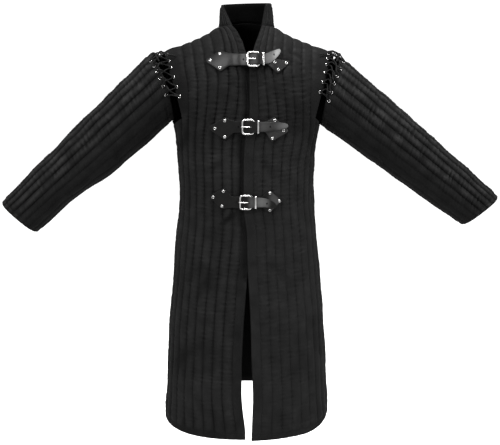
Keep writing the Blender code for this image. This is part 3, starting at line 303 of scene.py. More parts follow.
# ---- grids ----
ARC_STEPS = 97
NEAR_EDGE = (0.015, 0.04, 0.08)  # channels from an edge, for extra columns
FRONT_STEPS = (0.0, 0.04, 0.11, 0.21, 0.34, 0.5, 0.66, 0.79, 0.89, 0.96)
BACK_STEPS = (0.0, 0.06, 0.16, 0.31, 0.5, 0.69, 0.84, 0.94)
PLAIN_STEPS, PLAIN_ROWS = (0.0, 0.34, 0.67), (46, 13)  # the inside's, and its rows below and above
PANELS = {
    # steps: its columns in each channel; rows: how many below and above the armhole's foot; tone: its
    # channels' tone;
    # contrast: how far the ridges' painted highlight and the seams' painted shade stray from it; plainer: how
    # much flatter the skirt is
    "front_right": {"face": "front", "side": -1, "steps": FRONT_STEPS, "rows": (360, 92), "tone": 0.66,
                    "contrast": 0.45, "plainer": 0.12},
    "front_left": {"face": "front", "side": 1, "steps": FRONT_STEPS, "rows": (360, 92), "tone": 0.77,
                   "contrast": 0.12, "plainer": 0.34},
    "back": {"face": "back", "side": 1, "steps": BACK_STEPS, "rows": (310, 80), "tone": 0.66,
             "contrast": 0.6, "plainer": 0.0},
}
COLLAR_STEPS = 10
SLEEVE_STEPS = (0.0, 0.05, 0.13, 0.25, 0.4, 0.55, 0.7, 0.82, 0.91, 0.96)
SLEEVE_ROW_COUNT = 225
TUBE_SIDES = 12
SEEDS = {"front_right": 1000, "front_left": 2000, "back": 3000, "collar": 4000, "sleeve_right": 5000,
         "sleeve_left": 6000}

# ---- tones and threads ----
EDGE_TONE, EDGE_SHADE = 0.0020, 0.12  # how far in from an edge the cloth is painted darker, as the shade where it rolls over and at seams, and the painted shade's tone there
LINING_UV = 0.5  # the lining lies between stitch lines in the material
CHEST_SHADE, CHEST_LEVEL, CHEST_FADE = 0.30, -0.36, 0.2  # how much darker the chest is, from this level up
SLEEVE_TONES, RIDGE_POWER, UNDERSIDE_TONE = (0.08, 0.92), 2.4, 0.5  # painted tone at a seam, and the painted highlight added at a ridge; the even painted tone underneath
CREASE_TONE = 80.0  # painted tone for each metre of a crease's depth: painted shade in its trough, a painted highlight on its lip
NECK_LIGHT, NECK_LEVEL, NECK_FADE = 0.55, -0.17, 0.09  # how much paler the channels' edges are painted about the neck, a painted highlight
NECK_LIGHT_AT, NECK_LIGHT_HALF = 0.15, 0.08  # where in a channel, and how wide
STITCH_PITCH, STITCH_LENGTH, STITCH_SINK = 0.0036, 0.0029, 0.0002
STITCH_SECTION = ((0.00032, 0.0), (0.0, 0.00042), (-0.00032, 0.0), (0.0, -0.0003))  # across, out of the cloth
THREAD_PITCH, BRAID_PITCH = 0.0009, 0.0032

# ---- fine metal and leather ----
BUCKLE_THICKNESS = 0.0022  # radius of the buckle's wire as it looks
LEATHER_STEP, LEATHER_WAVE = 0.0011, 0.00018  # between sections, and how unevenly the leather lies
LEATHER_EDGE, LEATHER_CAMBER = 0.0008, 0.00025  # the top edges' rounding, and how far the top is domed
TIP_ROUNDING = 0.0035  # length of a leather end's rounding
BUCKLE_CORNER, KEEPER_CORNER, KEEPER_EDGE = 0.0062, 0.0018, 0.00045
EYELET_FOOT = -0.0006
HOLE_RADIUS = 0.0019
PRONG_HOLE = (0.0045, 0, 0.0062, 0.0021)  # its middle u and v, and half sizes
STRAP_HOLES = (  # (u, v) of the strap's free holes
    ((-0.025, 0.0), (0.050, 0.0090)),
    ((-0.025, 0.0), (0.056, 0.0)),
    ((-0.025, 0.0), (0.055, -0.0038)),
)
RIVET_PROFILE = ((1.0, -0.15), (1.0, 0.12), (0.97, 0.36), (0.88, 0.66), (0.74, 0.9), (0.62, 1.0), (0.5, 0.95),
                 (0.42, 0.78), (0.38, 0.45), (0.38, -0.15))
# the dark disc of painted shade down each rivet's bore, as (radius, height) shares
RIVET_BORE = ((0.02, 0.25), (0.4, 0.25), (0.4, -0.1), (0.02, -0.1))
STRAP_HIGHLIGHTS = (  # painted highlights: for each strap, (distance u, how pale its painted highlight is), then the same for its base
    (((-0.045, 0.0), (-0.036, 0.03), (-0.029, 0.14), (-0.018, 0.14), (-0.010, 0.0), (0.026, 0.0),
      (0.032, 0.16), (0.045, 0.26), (0.056, 0.48), (0.068, 0.38)), ((0.0, 0.0), (0.09, 0.01))),
    (((0.020, 0.0), (0.030, 0.09), (0.070, 0.11), (0.092, 0.27), (0.102, 0.27)), ((0.0, 0.08), (0.10, 0.11))),
    (((0.002, 0.0), (0.012, 0.13), (0.026, 0.15), (0.032, 0.23), (0.052, 0.23), (0.066, 0.03), (0.078, 0.0)),
     ((0.0, 0.0), (0.055, 0.01), (0.066, 0.12), (0.09, 0.12))),
)

# ---- creases and cuts ----
CREASE_TAPER = 0.7
CREASE_LIP, DENT_LIP = (0.45, 1.7), (0.4, 1.8)  # share of the depth, and of the half width away from it
CREASES = {  # ends (x, z), half width and depth
    "front_left": mm(
        (107, -62, 150, -85, 6, 3.2), (80, -80, 128, -98, 6, 3), (30, -330, 85, -400, 12, 2),
        (160, -270, 190, -360, 10, 2.5), (60, -620, 130, -700, 16, 1.8), (180, -800, 220, -930, 16, 2.2),
    ),
    "front_right": mm(
        (-25, -480, -70, -520, 7, 3.2), (-150, -260, -190, -340, 10, 2.5),
        (-50, -340, -110, -380, 12, 1.8), (-90, -660, -150, -740, 16, 1.8),
        (-170, -880, -210, -990, 16, 2),
    ),
    "back": mm(
        (-170, -240, -60, -340, 12, 3), (180, -250, 70, -360, 12, 3), (-120, -400, 20, -440, 14, 2.5),
        (-20, -470, 130, -440, 14, 2.5), (-100, -100, 40, -130, 14, 1.8), (100, -700, 160, -840, 18, 2),
        (-150, -660, -90, -820, 18, 2),
    ),
}
SLEEVE_DENTS = {  # distance down the arm, turn round from the top forwards, half turn and depth
    "right": ((0.16, 0.4, 0.5, 0.0022), (0.24, 1.6, 0.6, 0.0030), (0.27, -2.0, 0.7, 0.0030),
              (0.35, 0.9, 0.5, 0.0020), (0.20, 2.5, 0.5, 0.0025), (0.45, -0.9, 0.5, 0.0020)),
    "left": ((0.14, 0.5, 0.5, 0.0026), (0.22, 1.3, 0.6, 0.0032), (0.26, -1.8, 0.7, 0.0030),
             (0.33, 0.3, 0.5, 0.0026), (0.20, 2.5, 0.5, 0.0025), (0.42, -0.8, 0.5, 0.0022),
             (0.40, 1.7, 0.5, 0.0026)),
}

# ---- studio ----
FLOOR_LEVEL, FLOOR_HALF = -1.8, 40.0
WORLD_STRENGTH = 1.22
LIGHTS = (  # place, what it points at, size and power
    ("key", (-1.5, -1.7, 1.5), (0.0, 0.0, -0.4), (0.8, 0.8), 150.0),
    ("top", (0.4, -0.5, 2.0), (0.0, 0.0, -0.4), (1.2, 0.8), 210.0),
    ("side", (2.0, -1.0, 0.6), (0.0, 0.0, -0.5), (0.8, 1.2), 60.0),
)
LENS = 52.56
CAMERA_PLACE, CAMERA_DOWN = (0.010, -2.05, -0.015), 14.552  # and how far it looks down, degrees


# ---- small helpers ----


def smoothstep(value):
    t = np.clip(value, 0.0, 1.0)
    return t * t * (3 - 2 * t)


def mix(a, b, share):
    return a + (b - a) * share


def through(table, column, at):
    """A smooth curve through a table's column, read at its first column's values."""
    keys = np.array([row[0] for row in table])
    values = np.array([row[column] for row in table])
    slopes = np.gradient(values, keys)
    at = np.clip(at, keys[0], keys[-1])
    i = np.clip(np.searchsorted(keys, at) - 1, 0, len(keys) - 2)
    span = keys[i + 1] - keys[i]
    t = (at - keys[i]) / span
    return (
        (1 + 2 * t) * (1 - t) ** 2 * values[i]
        + t * (1 - t) ** 2 * span * slopes[i]
        + t * t * (3 - 2 * t) * values[i + 1]
        - t * t * (1 - t) * span * slopes[i + 1]
    )


def read_rows(keys, values, at):
    """np.interp on each row of two tables."""
    rows = np.arange(len(at))
    i = np.clip((keys < at[:, None]).sum(axis=1) - 1, 0, keys.shape[1] - 2)
    low, high = keys[rows, i], keys[rows, i + 1]
    t = np.clip((at - low) / np.maximum(high - low, 1e-12), 0, 1)
    return values[rows, i] * (1 - t) + values[rows, i + 1] * t


def ripple(at, wavelength, seed, parts=7):
    """Smooth irregular waves along a line, mostly from -1 to 1."""
    rng = np.random.default_rng(seed)
    total = 0
    for _ in range(parts):
        length, phase = wavelength * rng.uniform(0.65, 1.7), rng.uniform(0, 2 * math.pi)
        total = total + np.sin(2 * math.pi * at / length + phase)
    return total / math.sqrt(parts)


def unevenness(x, y, wavelength, seed, parts=12):
    """Smooth irregular bumps over a surface, mostly from -1 to 1."""
    rng = np.random.default_rng(seed)
    total = 0
    for _ in range(parts):
        turn, phase = rng.uniform(0, math.pi), rng.uniform(0, 2 * math.pi)
        length = wavelength * rng.uniform(0.7, 1.6)
        total = total + np.sin(2 * math.pi * (x * math.cos(turn) + y * math.sin(turn)) / length + phase)
    return total / math.sqrt(parts)


def unit(vectors):
    return vectors / np.maximum(np.linalg.norm(vectors, axis=-1, keepdims=True), 1e-12)


def run_of(line):
    """How far along a line of points each of them lies."""
    return np.concatenate([[0], np.linalg.norm(np.diff(line, axis=0), axis=1).cumsum()])


def loft(count, size, closed=False):
    """Quads between count sections of size points each; closed joins the last section to the first."""
    faces = []
    for k in range(count if closed else count - 1):
        a, b = k * size, (k + 1) % count * size
        faces += [(a + m, b + m, b + (m + 1) % size, a + (m + 1) % size) for m in range(size)]
    return faces


def put_in_scene(name, data):
    obj = bpy.data.objects.new(name, data)
    bpy.context.scene.collection.objects.link(obj)
    return obj


def show(name, points, faces, finish, uv=None, fade=None):
    """A smooth-shaded mesh object with its material; uv and fade hold a value for each point."""
    mesh = bpy.data.meshes.new(name)
    mesh.from_pydata(np.asarray(points).tolist(), [], [tuple(map(int, f)) for f in faces])
    work = bmesh.new()
    work.from_mesh(mesh)
    bmesh.ops.recalc_face_normals(work, faces=work.faces)
    work.to_mesh(mesh)
    work.free()
    mesh.shade_smooth()
    mesh.materials.append(finish)
    if uv is not None:
        corners = np.empty(len(mesh.loops), np.int32)
        mesh.loops.foreach_get("vertex_index", corners)
        layer = mesh.uv_layers.new(name="cloth")
        layer.data.foreach_set("uv", np.asarray(uv, np.float32)[corners].ravel())
    if fade is not None:
        values = mesh.attributes.new("fade", "FLOAT", "POINT")
        values.data.foreach_set("value", np.asarray(fade, np.float32))
    obj = put_in_scene(name, mesh)
    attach(obj, "root")
    return obj


def surface_of(obj):
    mesh = obj.data
    mesh.calc_loop_triangles()
    return BVHTree.FromPolygons([v.co for v in mesh.vertices], [t.vertices for t in mesh.loop_triangles])


def seat(tree, place, outward, radius):
    """Where a round piece rests on a surface below: its foot's middle, and the way out there."""
    outward = outward.normalized()
    found, normal = tree.ray_cast(place + outward * SEAT_REACH, -outward)[:2]
    turn = outward.to_track_quat("Z", "Y").to_matrix()
    spots = []
    for angle in (math.pi * k / 6 for k in range(12)):
        rim = turn @ Vector((radius * math.cos(angle), radius * math.sin(angle), 0))
        below = tree.ray_cast(found + rim + outward * SEAT_REACH, -outward)[0]
        if below is not None:
            spots.append(below)
    if len(spots) > 5:
        middle = sum(spots, Vector()) / len(spots)
        normal = Vector()
        for a, b in zip(spots, spots[1:] + spots[:1]):
            normal += (a - middle).cross(b - middle)
        normal.normalize()
    if normal.dot(outward) < 0:
        normal = -normal
    heights = [(spot - found).dot(normal) for spot in spots] + [0.0]
    return found + normal * (sum(heights) / len(heights)), normal


# ---- materials ----


class Value:
    """A node's output in a material, with arithmetic."""

    def __init__(self, material, socket):
        self.material, self.socket = material, socket

    def __add__(self, other):
        return self.material.math("ADD", self, other)

    def __sub__(self, other):
        return self.material.math("SUBTRACT", self, other)

    def __mul__(self, other):
        return self.material.math("MULTIPLY", self, other)


class Material:
    """A Principled material and short ways to add nodes to it; in names, _ stands for a space."""

    def __init__(self, name, **sockets):
        self.data = bpy.data.materials.new(name)
        self.data.use_nodes = True
        self.tree = self.data.node_tree
        self.shade(**sockets)

    def fill(self, node, sockets):
        for name, value in sockets.items():
            self.put(node.inputs[name.replace("_", " ")], value)

    def put(self, target, value):
        if isinstance(value, Value):
            self.tree.links.new(value.socket, target)
        else:
            target.default_value = value

    def shade(self, **sockets):
        self.fill(self.tree.nodes["Principled BSDF"], sockets)

    def node(self, kind, output, **sockets):
        made = self.tree.nodes.new("ShaderNode" + kind)
        self.fill(made, sockets)
        return made, Value(self, made.outputs[output])

    def math(self, operation, *values):
        made, result = self.node("Math", 0)
        made.operation = operation
        for socket, value in zip(made.inputs, values):
            self.put(socket, value)
        return result

    def uv(self):
        source, both = self.node("UVMap", 0)
        source.uv_map = "cloth"
        split, across = self.node("SeparateXYZ", 0, Vector=both)
        return across, Value(self, split.outputs[1])

    def fade(self):
        source, value = self.node("Attribute", "Fac")
        source.attribute_name = "fade"
        return value

    def texture(self, kind, output, **sockets):
        return self.node("Tex" + kind, output, Vector=self.node("TexCoord", "Object")[1], **sockets)[1]

    def noise(self, scale, detail=3.0):
        return self.texture("Noise", "Fac", Scale=scale, Detail=detail)

    def wave(self, value, pitch):
        """A sine of a length, once in each pitch, from 0 to 1."""
        return spread(self.math("SINE", value * (2 * math.pi / pitch)), 0.5, 1.0)

    def colour(self, value, *stops):
        """The base colour, from a ramp whose stops are (position, colour)."""
        ramp, result = self.node("ValToRGB", 0)
        self.put(ramp.inputs[0], value)
        elements = ramp.color_ramp.elements
        while len(elements) < len(stops):
            elements.new(0.5)
        for element, (position, colour) in zip(elements, stops):
            element.position = position
            element.color = (*colour, 1.0)
        self.shade(Base_Color=result)

    def bump(self, height, distance, strength=1.0):
        self.shade(Normal=self.node("Bump", 0, Height=height, Distance=distance, Strength=strength)[1])


def spread(value, low, high):
    """A value from 0 to 1 spread from low to high."""
    return value * (high - low) + low


def grey(value, warmth=0.0):
    return (value * (1 + warmth), value, value * (1 - warmth))


def quilted_cotton():
    """Matt black cotton canvas, whose colour carries painted highlights and painted shade from fade, with its
    stitches down each channel line.
    """
    m = Material("quilted_cotton", Roughness=0.8, Sheen_Weight=0.002, Sheen_Roughness=0.5,
                 Specular_IOR_Level=0.015)
    across, along = m.uv()
    blotches = m.noise(26.0)
    flecks = m.noise(900.0, 2.0) - 0.5
    # painted light from fade, with blotches and flecks as the cloth's own uneven tone; the ramp's darkest stop
    # is the lining, painted as shade
    m.colour(m.fade() * 0.55 + blotches * 0.45 + flecks * 0.35, (0.0, grey(0.0001)), (0.2, grey(0.0015)),
             (0.5, grey(0.0036)), (0.72, grey(0.0062)), (1.0, grey(0.0125, 0.01)))
    m.shade(Roughness=spread(blotches, 0.72, 0.92))
    weave = m.wave(across * CHANNEL_PITCH, THREAD_PITCH) * m.wave(along, THREAD_PITCH)
    crinkle = m.noise(150.0, 4.0) * 3.2
    from_line = m.math("ABSOLUTE", m.math("FRACT", across + 0.5) - 0.5)
    dash = m.math("GREATER_THAN", m.wave(along, STITCH_PITCH), 0.28)
    stitch = m.math("LESS_THAN", from_line, 0.018) * dash
    m.bump(weave * 0.35 + crinkle + stitch * 1.6, 0.0003, 0.9)
    return m.data


def strap_leather():
    """Black strap leather, softly glossy, with painted highlights in its colour where fade is high, and a fine
    grain.
    """
    m = Material("strap_leather", Roughness=0.4, Specular_IOR_Level=0.06, Coat_Weight=0.01,
                 Coat_Roughness=0.2)
    cloud = m.noise(45.0)
    # the ramp's paler stops carry the painted highlights from fade; cloud is the leather's own uneven tone
    m.colour(m.fade() + cloud * 0.06, (0.0, grey(0.0012)), (0.06, grey(0.003, 0.03)), (0.3, grey(0.038)),
             (0.55, grey(0.085)), (1.0, grey(0.2)))
    m.shade(Roughness=spread(cloud, 0.34, 0.5))
    m.bump(m.texture("Voronoi", "Distance", Scale=1100.0) * 0.35 + m.noise(120.0, 4.0) * 2.0, 0.0002, 0.8)
    return m.data


def nickel(name, dull, bright):
    m = Material(name, Roughness=0.2, Metallic=1.0)
    cloud = m.noise(130.0, 4.0)
    m.colour(cloud, (0.3, grey(dull, 0.01)), (0.7, grey(bright, 0.01)))
    m.shade(Roughness=spread(cloud, 0.14, 0.3))
    m.bump(m.noise(700.0, 2.0), 0.00005, 0.5)
    return m.data


def braided_cotton():
    """Round braided lace: two sets of strands that wind over each other."""
    m = Material("braided_cotton", Roughness=0.68, Sheen_Weight=0.002, Sheen_Roughness=0.4,
                 Specular_IOR_Level=0.05)
    around, along = m.uv()
    turns = around * (BRAID_PITCH * 4)
    strands = m.math("MAXIMUM", m.wave(turns + along, BRAID_PITCH), m.wave(turns - along, BRAID_PITCH))
    # painted shade in the grooves between the strands, paler on their crowns
    m.colour(strands, (0.4, grey(0.0004)), (0.95, grey(0.0032)))
    m.bump(strands, 0.0004)
    return m.data


def speckled(name, scale, low, high, **sockets):
    """A plain material between two greys; low and high are (noise, brightness)."""
    m = Material(name, **sockets)
    m.colour(m.noise(scale), *((position, grey(light)) for position, light in (low, high)))
    return m.data


# ---- the body's surface ----


def depth_at(face, x, z):
    """How far the front or back surface lies from the side plane."""
    column = 1 if face == "front" else 2
    half = through(BODY, 1, z)
    full = through(BODY, column + 1, z)
    across = np.clip(np.abs(x) / half, 0, 1)
    rise = np.clip((through(CREST, column, np.abs(x)) - z) / SHOULDER_DROP, 0, 1)
    return full * (1 - across**ROUNDNESS) ** (1 / ROUNDNESS) * np.sqrt(rise * (2 - rise))


def edge_at(face, side, z):
    """The front edge's distance from the middle; the back's grid starts at its middle."""
    return 0.0 * z if face == "back" else through(EDGES, 1 if side < 0 else 2, z)


def arm_edge_at(face, side, z):
    return through(ARMHOLE, (1 if side < 0 else 2) + (0 if face == "front" else 2), z)


def cloth_edge_at(face, side, z):
    """The cloth's own edge at the armhole: the back's reaches on behind the sleeve."""
    return arm_edge_at(face, side, z) + (0.0 if face == "front" else through(BACK_LAP, 1, z))


def hem_level(face, side, p):
    """The hem rises to the side seams, and the upper front's corner hangs a little lower."""
    share = np.clip((p - HEM_RISE_FROM) / (SIDE_LINE - HEM_RISE_FROM), 0, None)
    rise = HEM_RISE["right" if side < 0 else "left"] * share**HEM_RISE_POWER
    droop = CORNER_DROOP * np.clip(1 - p / DROOP_LINES, 0, None) if face == "front" and side > 0 else 0.0
    return HEM_LEVEL + rise - droop


def top_line(face, side, p):
    """Where each line meets the neck edge or shoulder seam, from the middle."""
    lines = list(LINES_AT_TOP)
    lines[ARM_LINE] = ARMHOLE[-1][1 if side < 0 else 2]
    if face == "front":
        lines[0] = EDGES[-1][1 if side < 0 else 2]
    else:
        lines[:NECK_LINE] = [NECK_HALF * k / NECK_LINE for k in range(NECK_LINE)]
    return np.interp(p, range(len(lines)), lines)


def top_level(face, side, p):
    seam = through(CREST, 1, top_line(face, side, p))
    if face == "front":
        neck = 0.004 - 0.005 * np.clip(p / NECK_LINE, 0, 1)
    else:
        neck = (BACK_NECK_RISE + 0.001) * (1 - np.clip(p / NECK_LINE, 0, 1) ** 2) - 0.001
    return np.where(p < NECK_LINE, neck, seam)


def low_top_level(p):
    """The upper end of the lower rows: level across the chest, then down under the arm."""
    share = np.clip((p - ARM_LINE) / (SIDE_LINE - ARM_LINE), 0, 1)
    return ARM_FOOT_LEVEL + (ARM_SIDE_LEVEL - ARM_FOOT_LEVEL) * np.sin(share * math.pi / 2)


def low_points(face, side, p, z):
    """Distance from the middle and depth in the lower rows, from line numbers and levels."""
    turn = np.linspace(0, math.pi / 2, ARC_STEPS)
    xs = through(BODY, 1, z)[:, None] * np.sin(turn) ** (2 / ROUNDNESS)
    ys = through(BODY, 2 if face == "front" else 3, z)[:, None] * np.cos(turn) ** (2 / ROUNDNESS)
    run = np.hypot(np.diff(xs, axis=1), np.diff(ys, axis=1)).cumsum(axis=1)
    lengths = np.concatenate([np.zeros((len(z), 1)), run], axis=1)
    edge, whole = edge_at(face, side, z), lengths[:, -1]
    first = edge + BAND if face == "front" else whole / SIDE_LINE

    def line(number):
        beyond = first + (whole - first) * (number - 1) / (SIDE_LINE - 1)
        return np.where(number < 1, edge + (first - edge) * number, beyond)

    arm_x = cloth_edge_at(face, side, ARM_FOOT_LEVEL)
    at_arm = read_rows(xs, lengths, np.full(len(z), arm_x))
    pull = smoothstep((z - ARM_FOOT_LEVEL + LINES_BEND) / LINES_BEND)
    reach = np.where(p < ARM_LINE, ARM_LINE - NECK_LINE, SIDE_LINE - ARM_LINE)
    near = np.clip(1 - np.abs(p - ARM_LINE) / reach, 0, None)
    length = line(p) + (at_arm - line(float(ARM_LINE))) * near * pull
    return read_rows(lengths, xs, np.abs(length)) * np.sign(length), read_rows(lengths, ys, np.abs(length))


def stitch_points(face, side, p, q):
    """The surface at the stitch lines for arrays of line and row numbers, seen on the +X side."""
    p, q = np.broadcast_arrays(np.asarray(p, float), np.asarray(q, float))
    shape, p, q = p.shape, p.ravel(), q.ravel()
    x, y, z = (np.zeros(len(p)) for _ in range(3))
    low = q <= 1
    hem = hem_level(face, side, p[low])
    z[low] = hem + (low_top_level(p[low]) - hem) * q[low]
    x[low], y[low] = low_points(face, side, p[low], z[low])
    high = ~low
    if high.any():
        ph, share = p[high], q[high] - 1
        foot_edge = float(edge_at(face, side, ARM_FOOT_LEVEL))
        foot_arm = float(cloth_edge_at(face, side, ARM_FOOT_LEVEL))
        foot_x = low_points(face, side, ph, np.full(len(ph), ARM_FOOT_LEVEL))[0]
        ends = [float(top_line(face, side, k)) for k in (0, ARM_LINE)]
        foot_share = (foot_x - foot_edge) / (foot_arm - foot_edge)
        top_share = (top_line(face, side, ph) - ends[0]) / (ends[1] - ends[0])
        across = foot_share + (top_share - foot_share) * share
        at_edge, at_arm, z[high] = (
            ARM_FOOT_LEVEL + (top_level(face, side, k) - ARM_FOOT_LEVEL) * share
            for k in (np.zeros(1), np.full(1, float(ARM_LINE)), ph)
        )
        start, end = edge_at(face, side, at_edge), cloth_edge_at(face, side, at_arm)
        x[high] = start + (end - start) * across
        y[high] = depth_at(face, x[high], z[high])
    return np.stack([x, -y if face == "front" else y, z], axis=-1).reshape(*shape, 3)


def pillow(share):
    """Height of a padded channel across its width, from 0 at its stitch lines to 1."""
    return np.sin(math.pi * np.clip(share, 0, 1)) ** PLUMPNESS


def rolled(distance):
    """How far a wall's face stands out of its middle near an edge, from 0 at the edge to 1."""
    return np.sqrt(1 - (1 - np.clip(distance / EDGE_ROLL, 0, 1)) ** 2)


def padded_channels(p, along, pitch, seed, crown, pucker, wavelength=0.011):
    """Height of the quilting, for each column p (in channels) and distance along it.

    Each channel swells and leans a little along its length, and small gathers cross its stitch lines.
    """
    k, t = np.floor(p + 1e-9), p - np.floor(p + 1e-9)
    height = np.zeros(np.broadcast_shapes(p.shape, along.shape))
    for number in map(int, np.unique(k)):
        here = (k == number)[:, 0]
        share, s = t[here], along[here]
        swell = 1 + SWELL[0] * ripple(s, SWELL[1], seed + 13 * number)
        swell += FINE_SWELL[0] * ripple(s, FINE_SWELL[1], seed + 500 + number)
        lean = LEAN[0] * ripple(s, LEAN[1], seed + 900 + number) * np.sin(math.pi * share)
        height[here] = crown * swell * pillow(share + lean)
        for line, off in ((number, share), (number + 1, 1 - share)):
            away = off * pitch * 1000  # millimetres from the line
            gathers = ripple(s, wavelength, seed + 31 * line + 7) * np.exp(-away / GATHER_REACH)
            height[here] += pucker * gathers * np.minimum(1, away / GATHER_RISE + LEAST_GATHER)
    return height


def banded(height, distance, width, flat, fade, groove=0.0):
    """Height pressed flat in a band along an edge, with a stitched groove where the band ends."""
    height = mix(flat, height, smoothstep((distance - width) / fade))
    return height - groove * np.exp(-(((distance - width) / GROOVE_HALF) ** 2))


def creases(x, z, table):
    """Soft troughs with a raised lip: rows are two ends (x, z), half width and depth."""
    height = np.zeros(x.shape)
    for x0, z0, x1, z1, width, depth in table:
        length = math.hypot(x1 - x0, z1 - z0)
        along = ((x - x0) * (x1 - x0) + (z - z0) * (z1 - z0)) / length**2
        off = ((x - x0) * (z1 - z0) - (z - z0) * (x1 - x0)) / length / width
        taper = np.clip(1 - (2 * along - 1) ** 2, 0, 1) ** CREASE_TAPER
        height += depth * taper * (CREASE_LIP[0] * np.exp(-((off - CREASE_LIP[1]) ** 2)) - np.exp(-(off**2)))
    return height


# ---- cloth grids ----


def bridge(near, far, points):
    """Triangles between two lines of point numbers that start and end together."""
    a, b = (run / max(run[-1], 1e-9) for run in (run_of(points[near]), run_of(points[far])))
    faces, i, j = [], 0, 0
    while i < len(near) - 1 or j < len(far) - 1:
        if j == len(far) - 1 or (i < len(near) - 1 and a[i + 1] <= b[j + 1]):
            faces.append((near[i], near[i + 1], far[j]))
            i += 1
        else:
            faces.append((near[i], far[j + 1], far[j]))
            j += 1
    return faces


def grid_faces(numbers, closed=False):
    """Quads over a grid of point numbers; -1 marks a place with no point."""
    if closed:
        numbers = np.concatenate([numbers, numbers[:1]])
    quads = np.stack([numbers[:-1, :-1], numbers[1:, :-1], numbers[1:, 1:], numbers[:-1, 1:]], axis=-1)
    quads = quads.reshape(-1, 4)
    return quads[(quads >= 0).all(axis=1)]


def borders(numbers, low, first, last):
    """The sides of a grid in turn, whose columns first to last alone go on above row low."""
    sides = [numbers[:, 0], numbers[-1, : low + 1]]
    if last < len(numbers) - 1:
        sides += [numbers[last:, low][::-1], numbers[last, low:]]
    sides.append(numbers[first : last + 1, -1][::-1])
    if first == 0:
        return sides + [numbers[0][::-1]]
    back = numbers[first, low:], numbers[: first + 1, low], numbers[0, : low + 1]
    return sides + [line[::-1] for line in back]


class Cloth:
    """A cloth's stitch surface on a grid, with its normals, the distances along it and to its edges.

    Only the columns of high, first to last, go on above row low. NaN marks a place with no cloth.
    """

    def __init__(self, base, outward, low=None, high=None, closed=False):
        count, rows = base.shape[:2]
        self.base, self.closed, self.missing = base, closed, np.isnan(base[..., 0])
        self.low = low = rows - 1 if low is None else low
        self.first, self.last = first, last = (0, count - 1) if high is None else high
        ring = np.concatenate([base[-1:], base, base[:1]]) if closed else base
        with np.errstate(invalid="ignore"):
            across, up = np.gradient(ring, axis=0), np.gradient(base, axis=1)
        across = across[1:-1] if closed else across
        for i, step in ((first, 1), (last, -1)):
            across[i, low + 1 :] = (base[i + step, low + 1 :] - base[i, low + 1 :]) * step
        for part in (slice(0, first), slice(last + 1, None)):
            up[part, low] = base[part, low] - base[part, low - 1]
        self.normal = unit(np.cross(across, up)) * outward
        steps = np.linalg.norm(np.diff(base, axis=1), axis=2)
        self.along = np.concatenate([np.zeros((count, 1)), np.nancumsum(steps, axis=1)], axis=1)
        steps = np.linalg.norm(np.diff(base, axis=0), axis=2)
        self.across = np.concatenate([np.zeros((1, rows)), np.nancumsum(steps, axis=0)])

        tops, start, end = np.full(count, rows - 1), np.zeros(rows, int), np.full(rows, count - 1)
        tops[:first] = tops[last + 1 :] = low
        start[low + 1 :], end[low + 1 :] = first, last
        self.to_top = self.along[np.arange(count), tops][:, None] - self.along
        self.from_start = self.across - self.across[start, np.arange(rows)]
        self.from_end = self.across[end, np.arange(rows)] - self.across
        sides = (self.along, self.to_top) + (() if closed else (self.from_start, self.from_end))
        self.distance = np.maximum(np.minimum.reduce(sides), 0)

    def points(self, offset):
        return self.base + self.normal * offset[..., None]


def wall(name, fine, coarse, height, fade, finish, channels, mirror=1, seam=0):
    """A closed cloth wall: a finely shaped outside, a plain inside, and rolled edges between them.

    channels numbers the outside's columns. mirror -1 moves the cloth to the right side. seam 1 holds it in
    front of the side seams, -1 behind them.
    """
    middle = -LINING / 2
    fine.outer = fine.points(mix(middle, height, rolled(fine.distance)))
    coarse.outer = coarse.points(middle - LINING / 2 * np.maximum(rolled(coarse.distance), 0.06))
    numbers, points, uv, count = [], [], [], 0
    for cloth, across in ((fine, channels), (coarse, LINING_UV)):
        if seam:
            cloth.outer[..., 1] = seam * np.minimum(seam * cloth.outer[..., 1], SEAM_LAP)
        cloth.outer[..., 0] *= mirror
        here = ~cloth.missing
        numbering = np.full(here.shape, -1)
        numbering[here] = np.arange(here.sum()) + count
        count += here.sum()
        numbers.append(numbering)
        points.append(cloth.outer[here])
        uv.append(np.stack([np.broadcast_to(across, here.shape)[here], cloth.along[here]], axis=-1))
    points = np.concatenate(points)
    faces = [tuple(f) for n in numbers for f in grid_faces(n, fine.closed)]
    if fine.closed:
        rims = [[np.append(n[:, row], n[0, row]) for n in numbers] for row in (0, -1)]
    else:
        rims = zip(*(borders(n, c.low, c.first, c.last) for n, c in zip(numbers, (fine, coarse))))
    for near, far in rims:
        faces += bridge(near, far, points)
    # painted light for each point: the outside's tone, painted darker towards its rolled edges and seams as
    # shade
    tone = mix(fade, EDGE_SHADE, 1 - smoothstep(fine.distance / EDGE_TONE))[~fine.missing]
    # the lining's points painted darkest, as the shade inside the coat
    tone = np.concatenate([tone, np.full(count - len(tone), -1.0)])
    fine.object = show(name + "_cloth", points, faces, finish, np.concatenate(uv), tone)
    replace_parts(fine.object, name)
    return fine


# ---- fronts and back ----


def panel_columns(steps, near=()):
    """Column numbers: steps within each channel, with extra ones close to an edge at each of near."""
    columns = {k + step for k in range(SIDE_LINE) for step in steps} | {float(SIDE_LINE)}
    extra = {edge + way * d for edge in near for d in NEAR_EDGE for way in (-1, 1)}
    return sorted(round(c, 6) for c in columns | {c for c in extra if 0 <= c <= SIDE_LINE})


def panel_rows(low_count, high_count):
    """Row numbers, closer together at the hem, under the arm and at the top."""
    low = (0, 0.0006, 0.0014, 0.0026), np.linspace(0.004, 0.9965, low_count), (0.9985, 0.9995, 1.0)
    high = np.linspace(0.008, 0.985, high_count), (0.991, 0.9955, 0.9985, 1.0)
    return np.concatenate(low), 1 + np.concatenate(high)


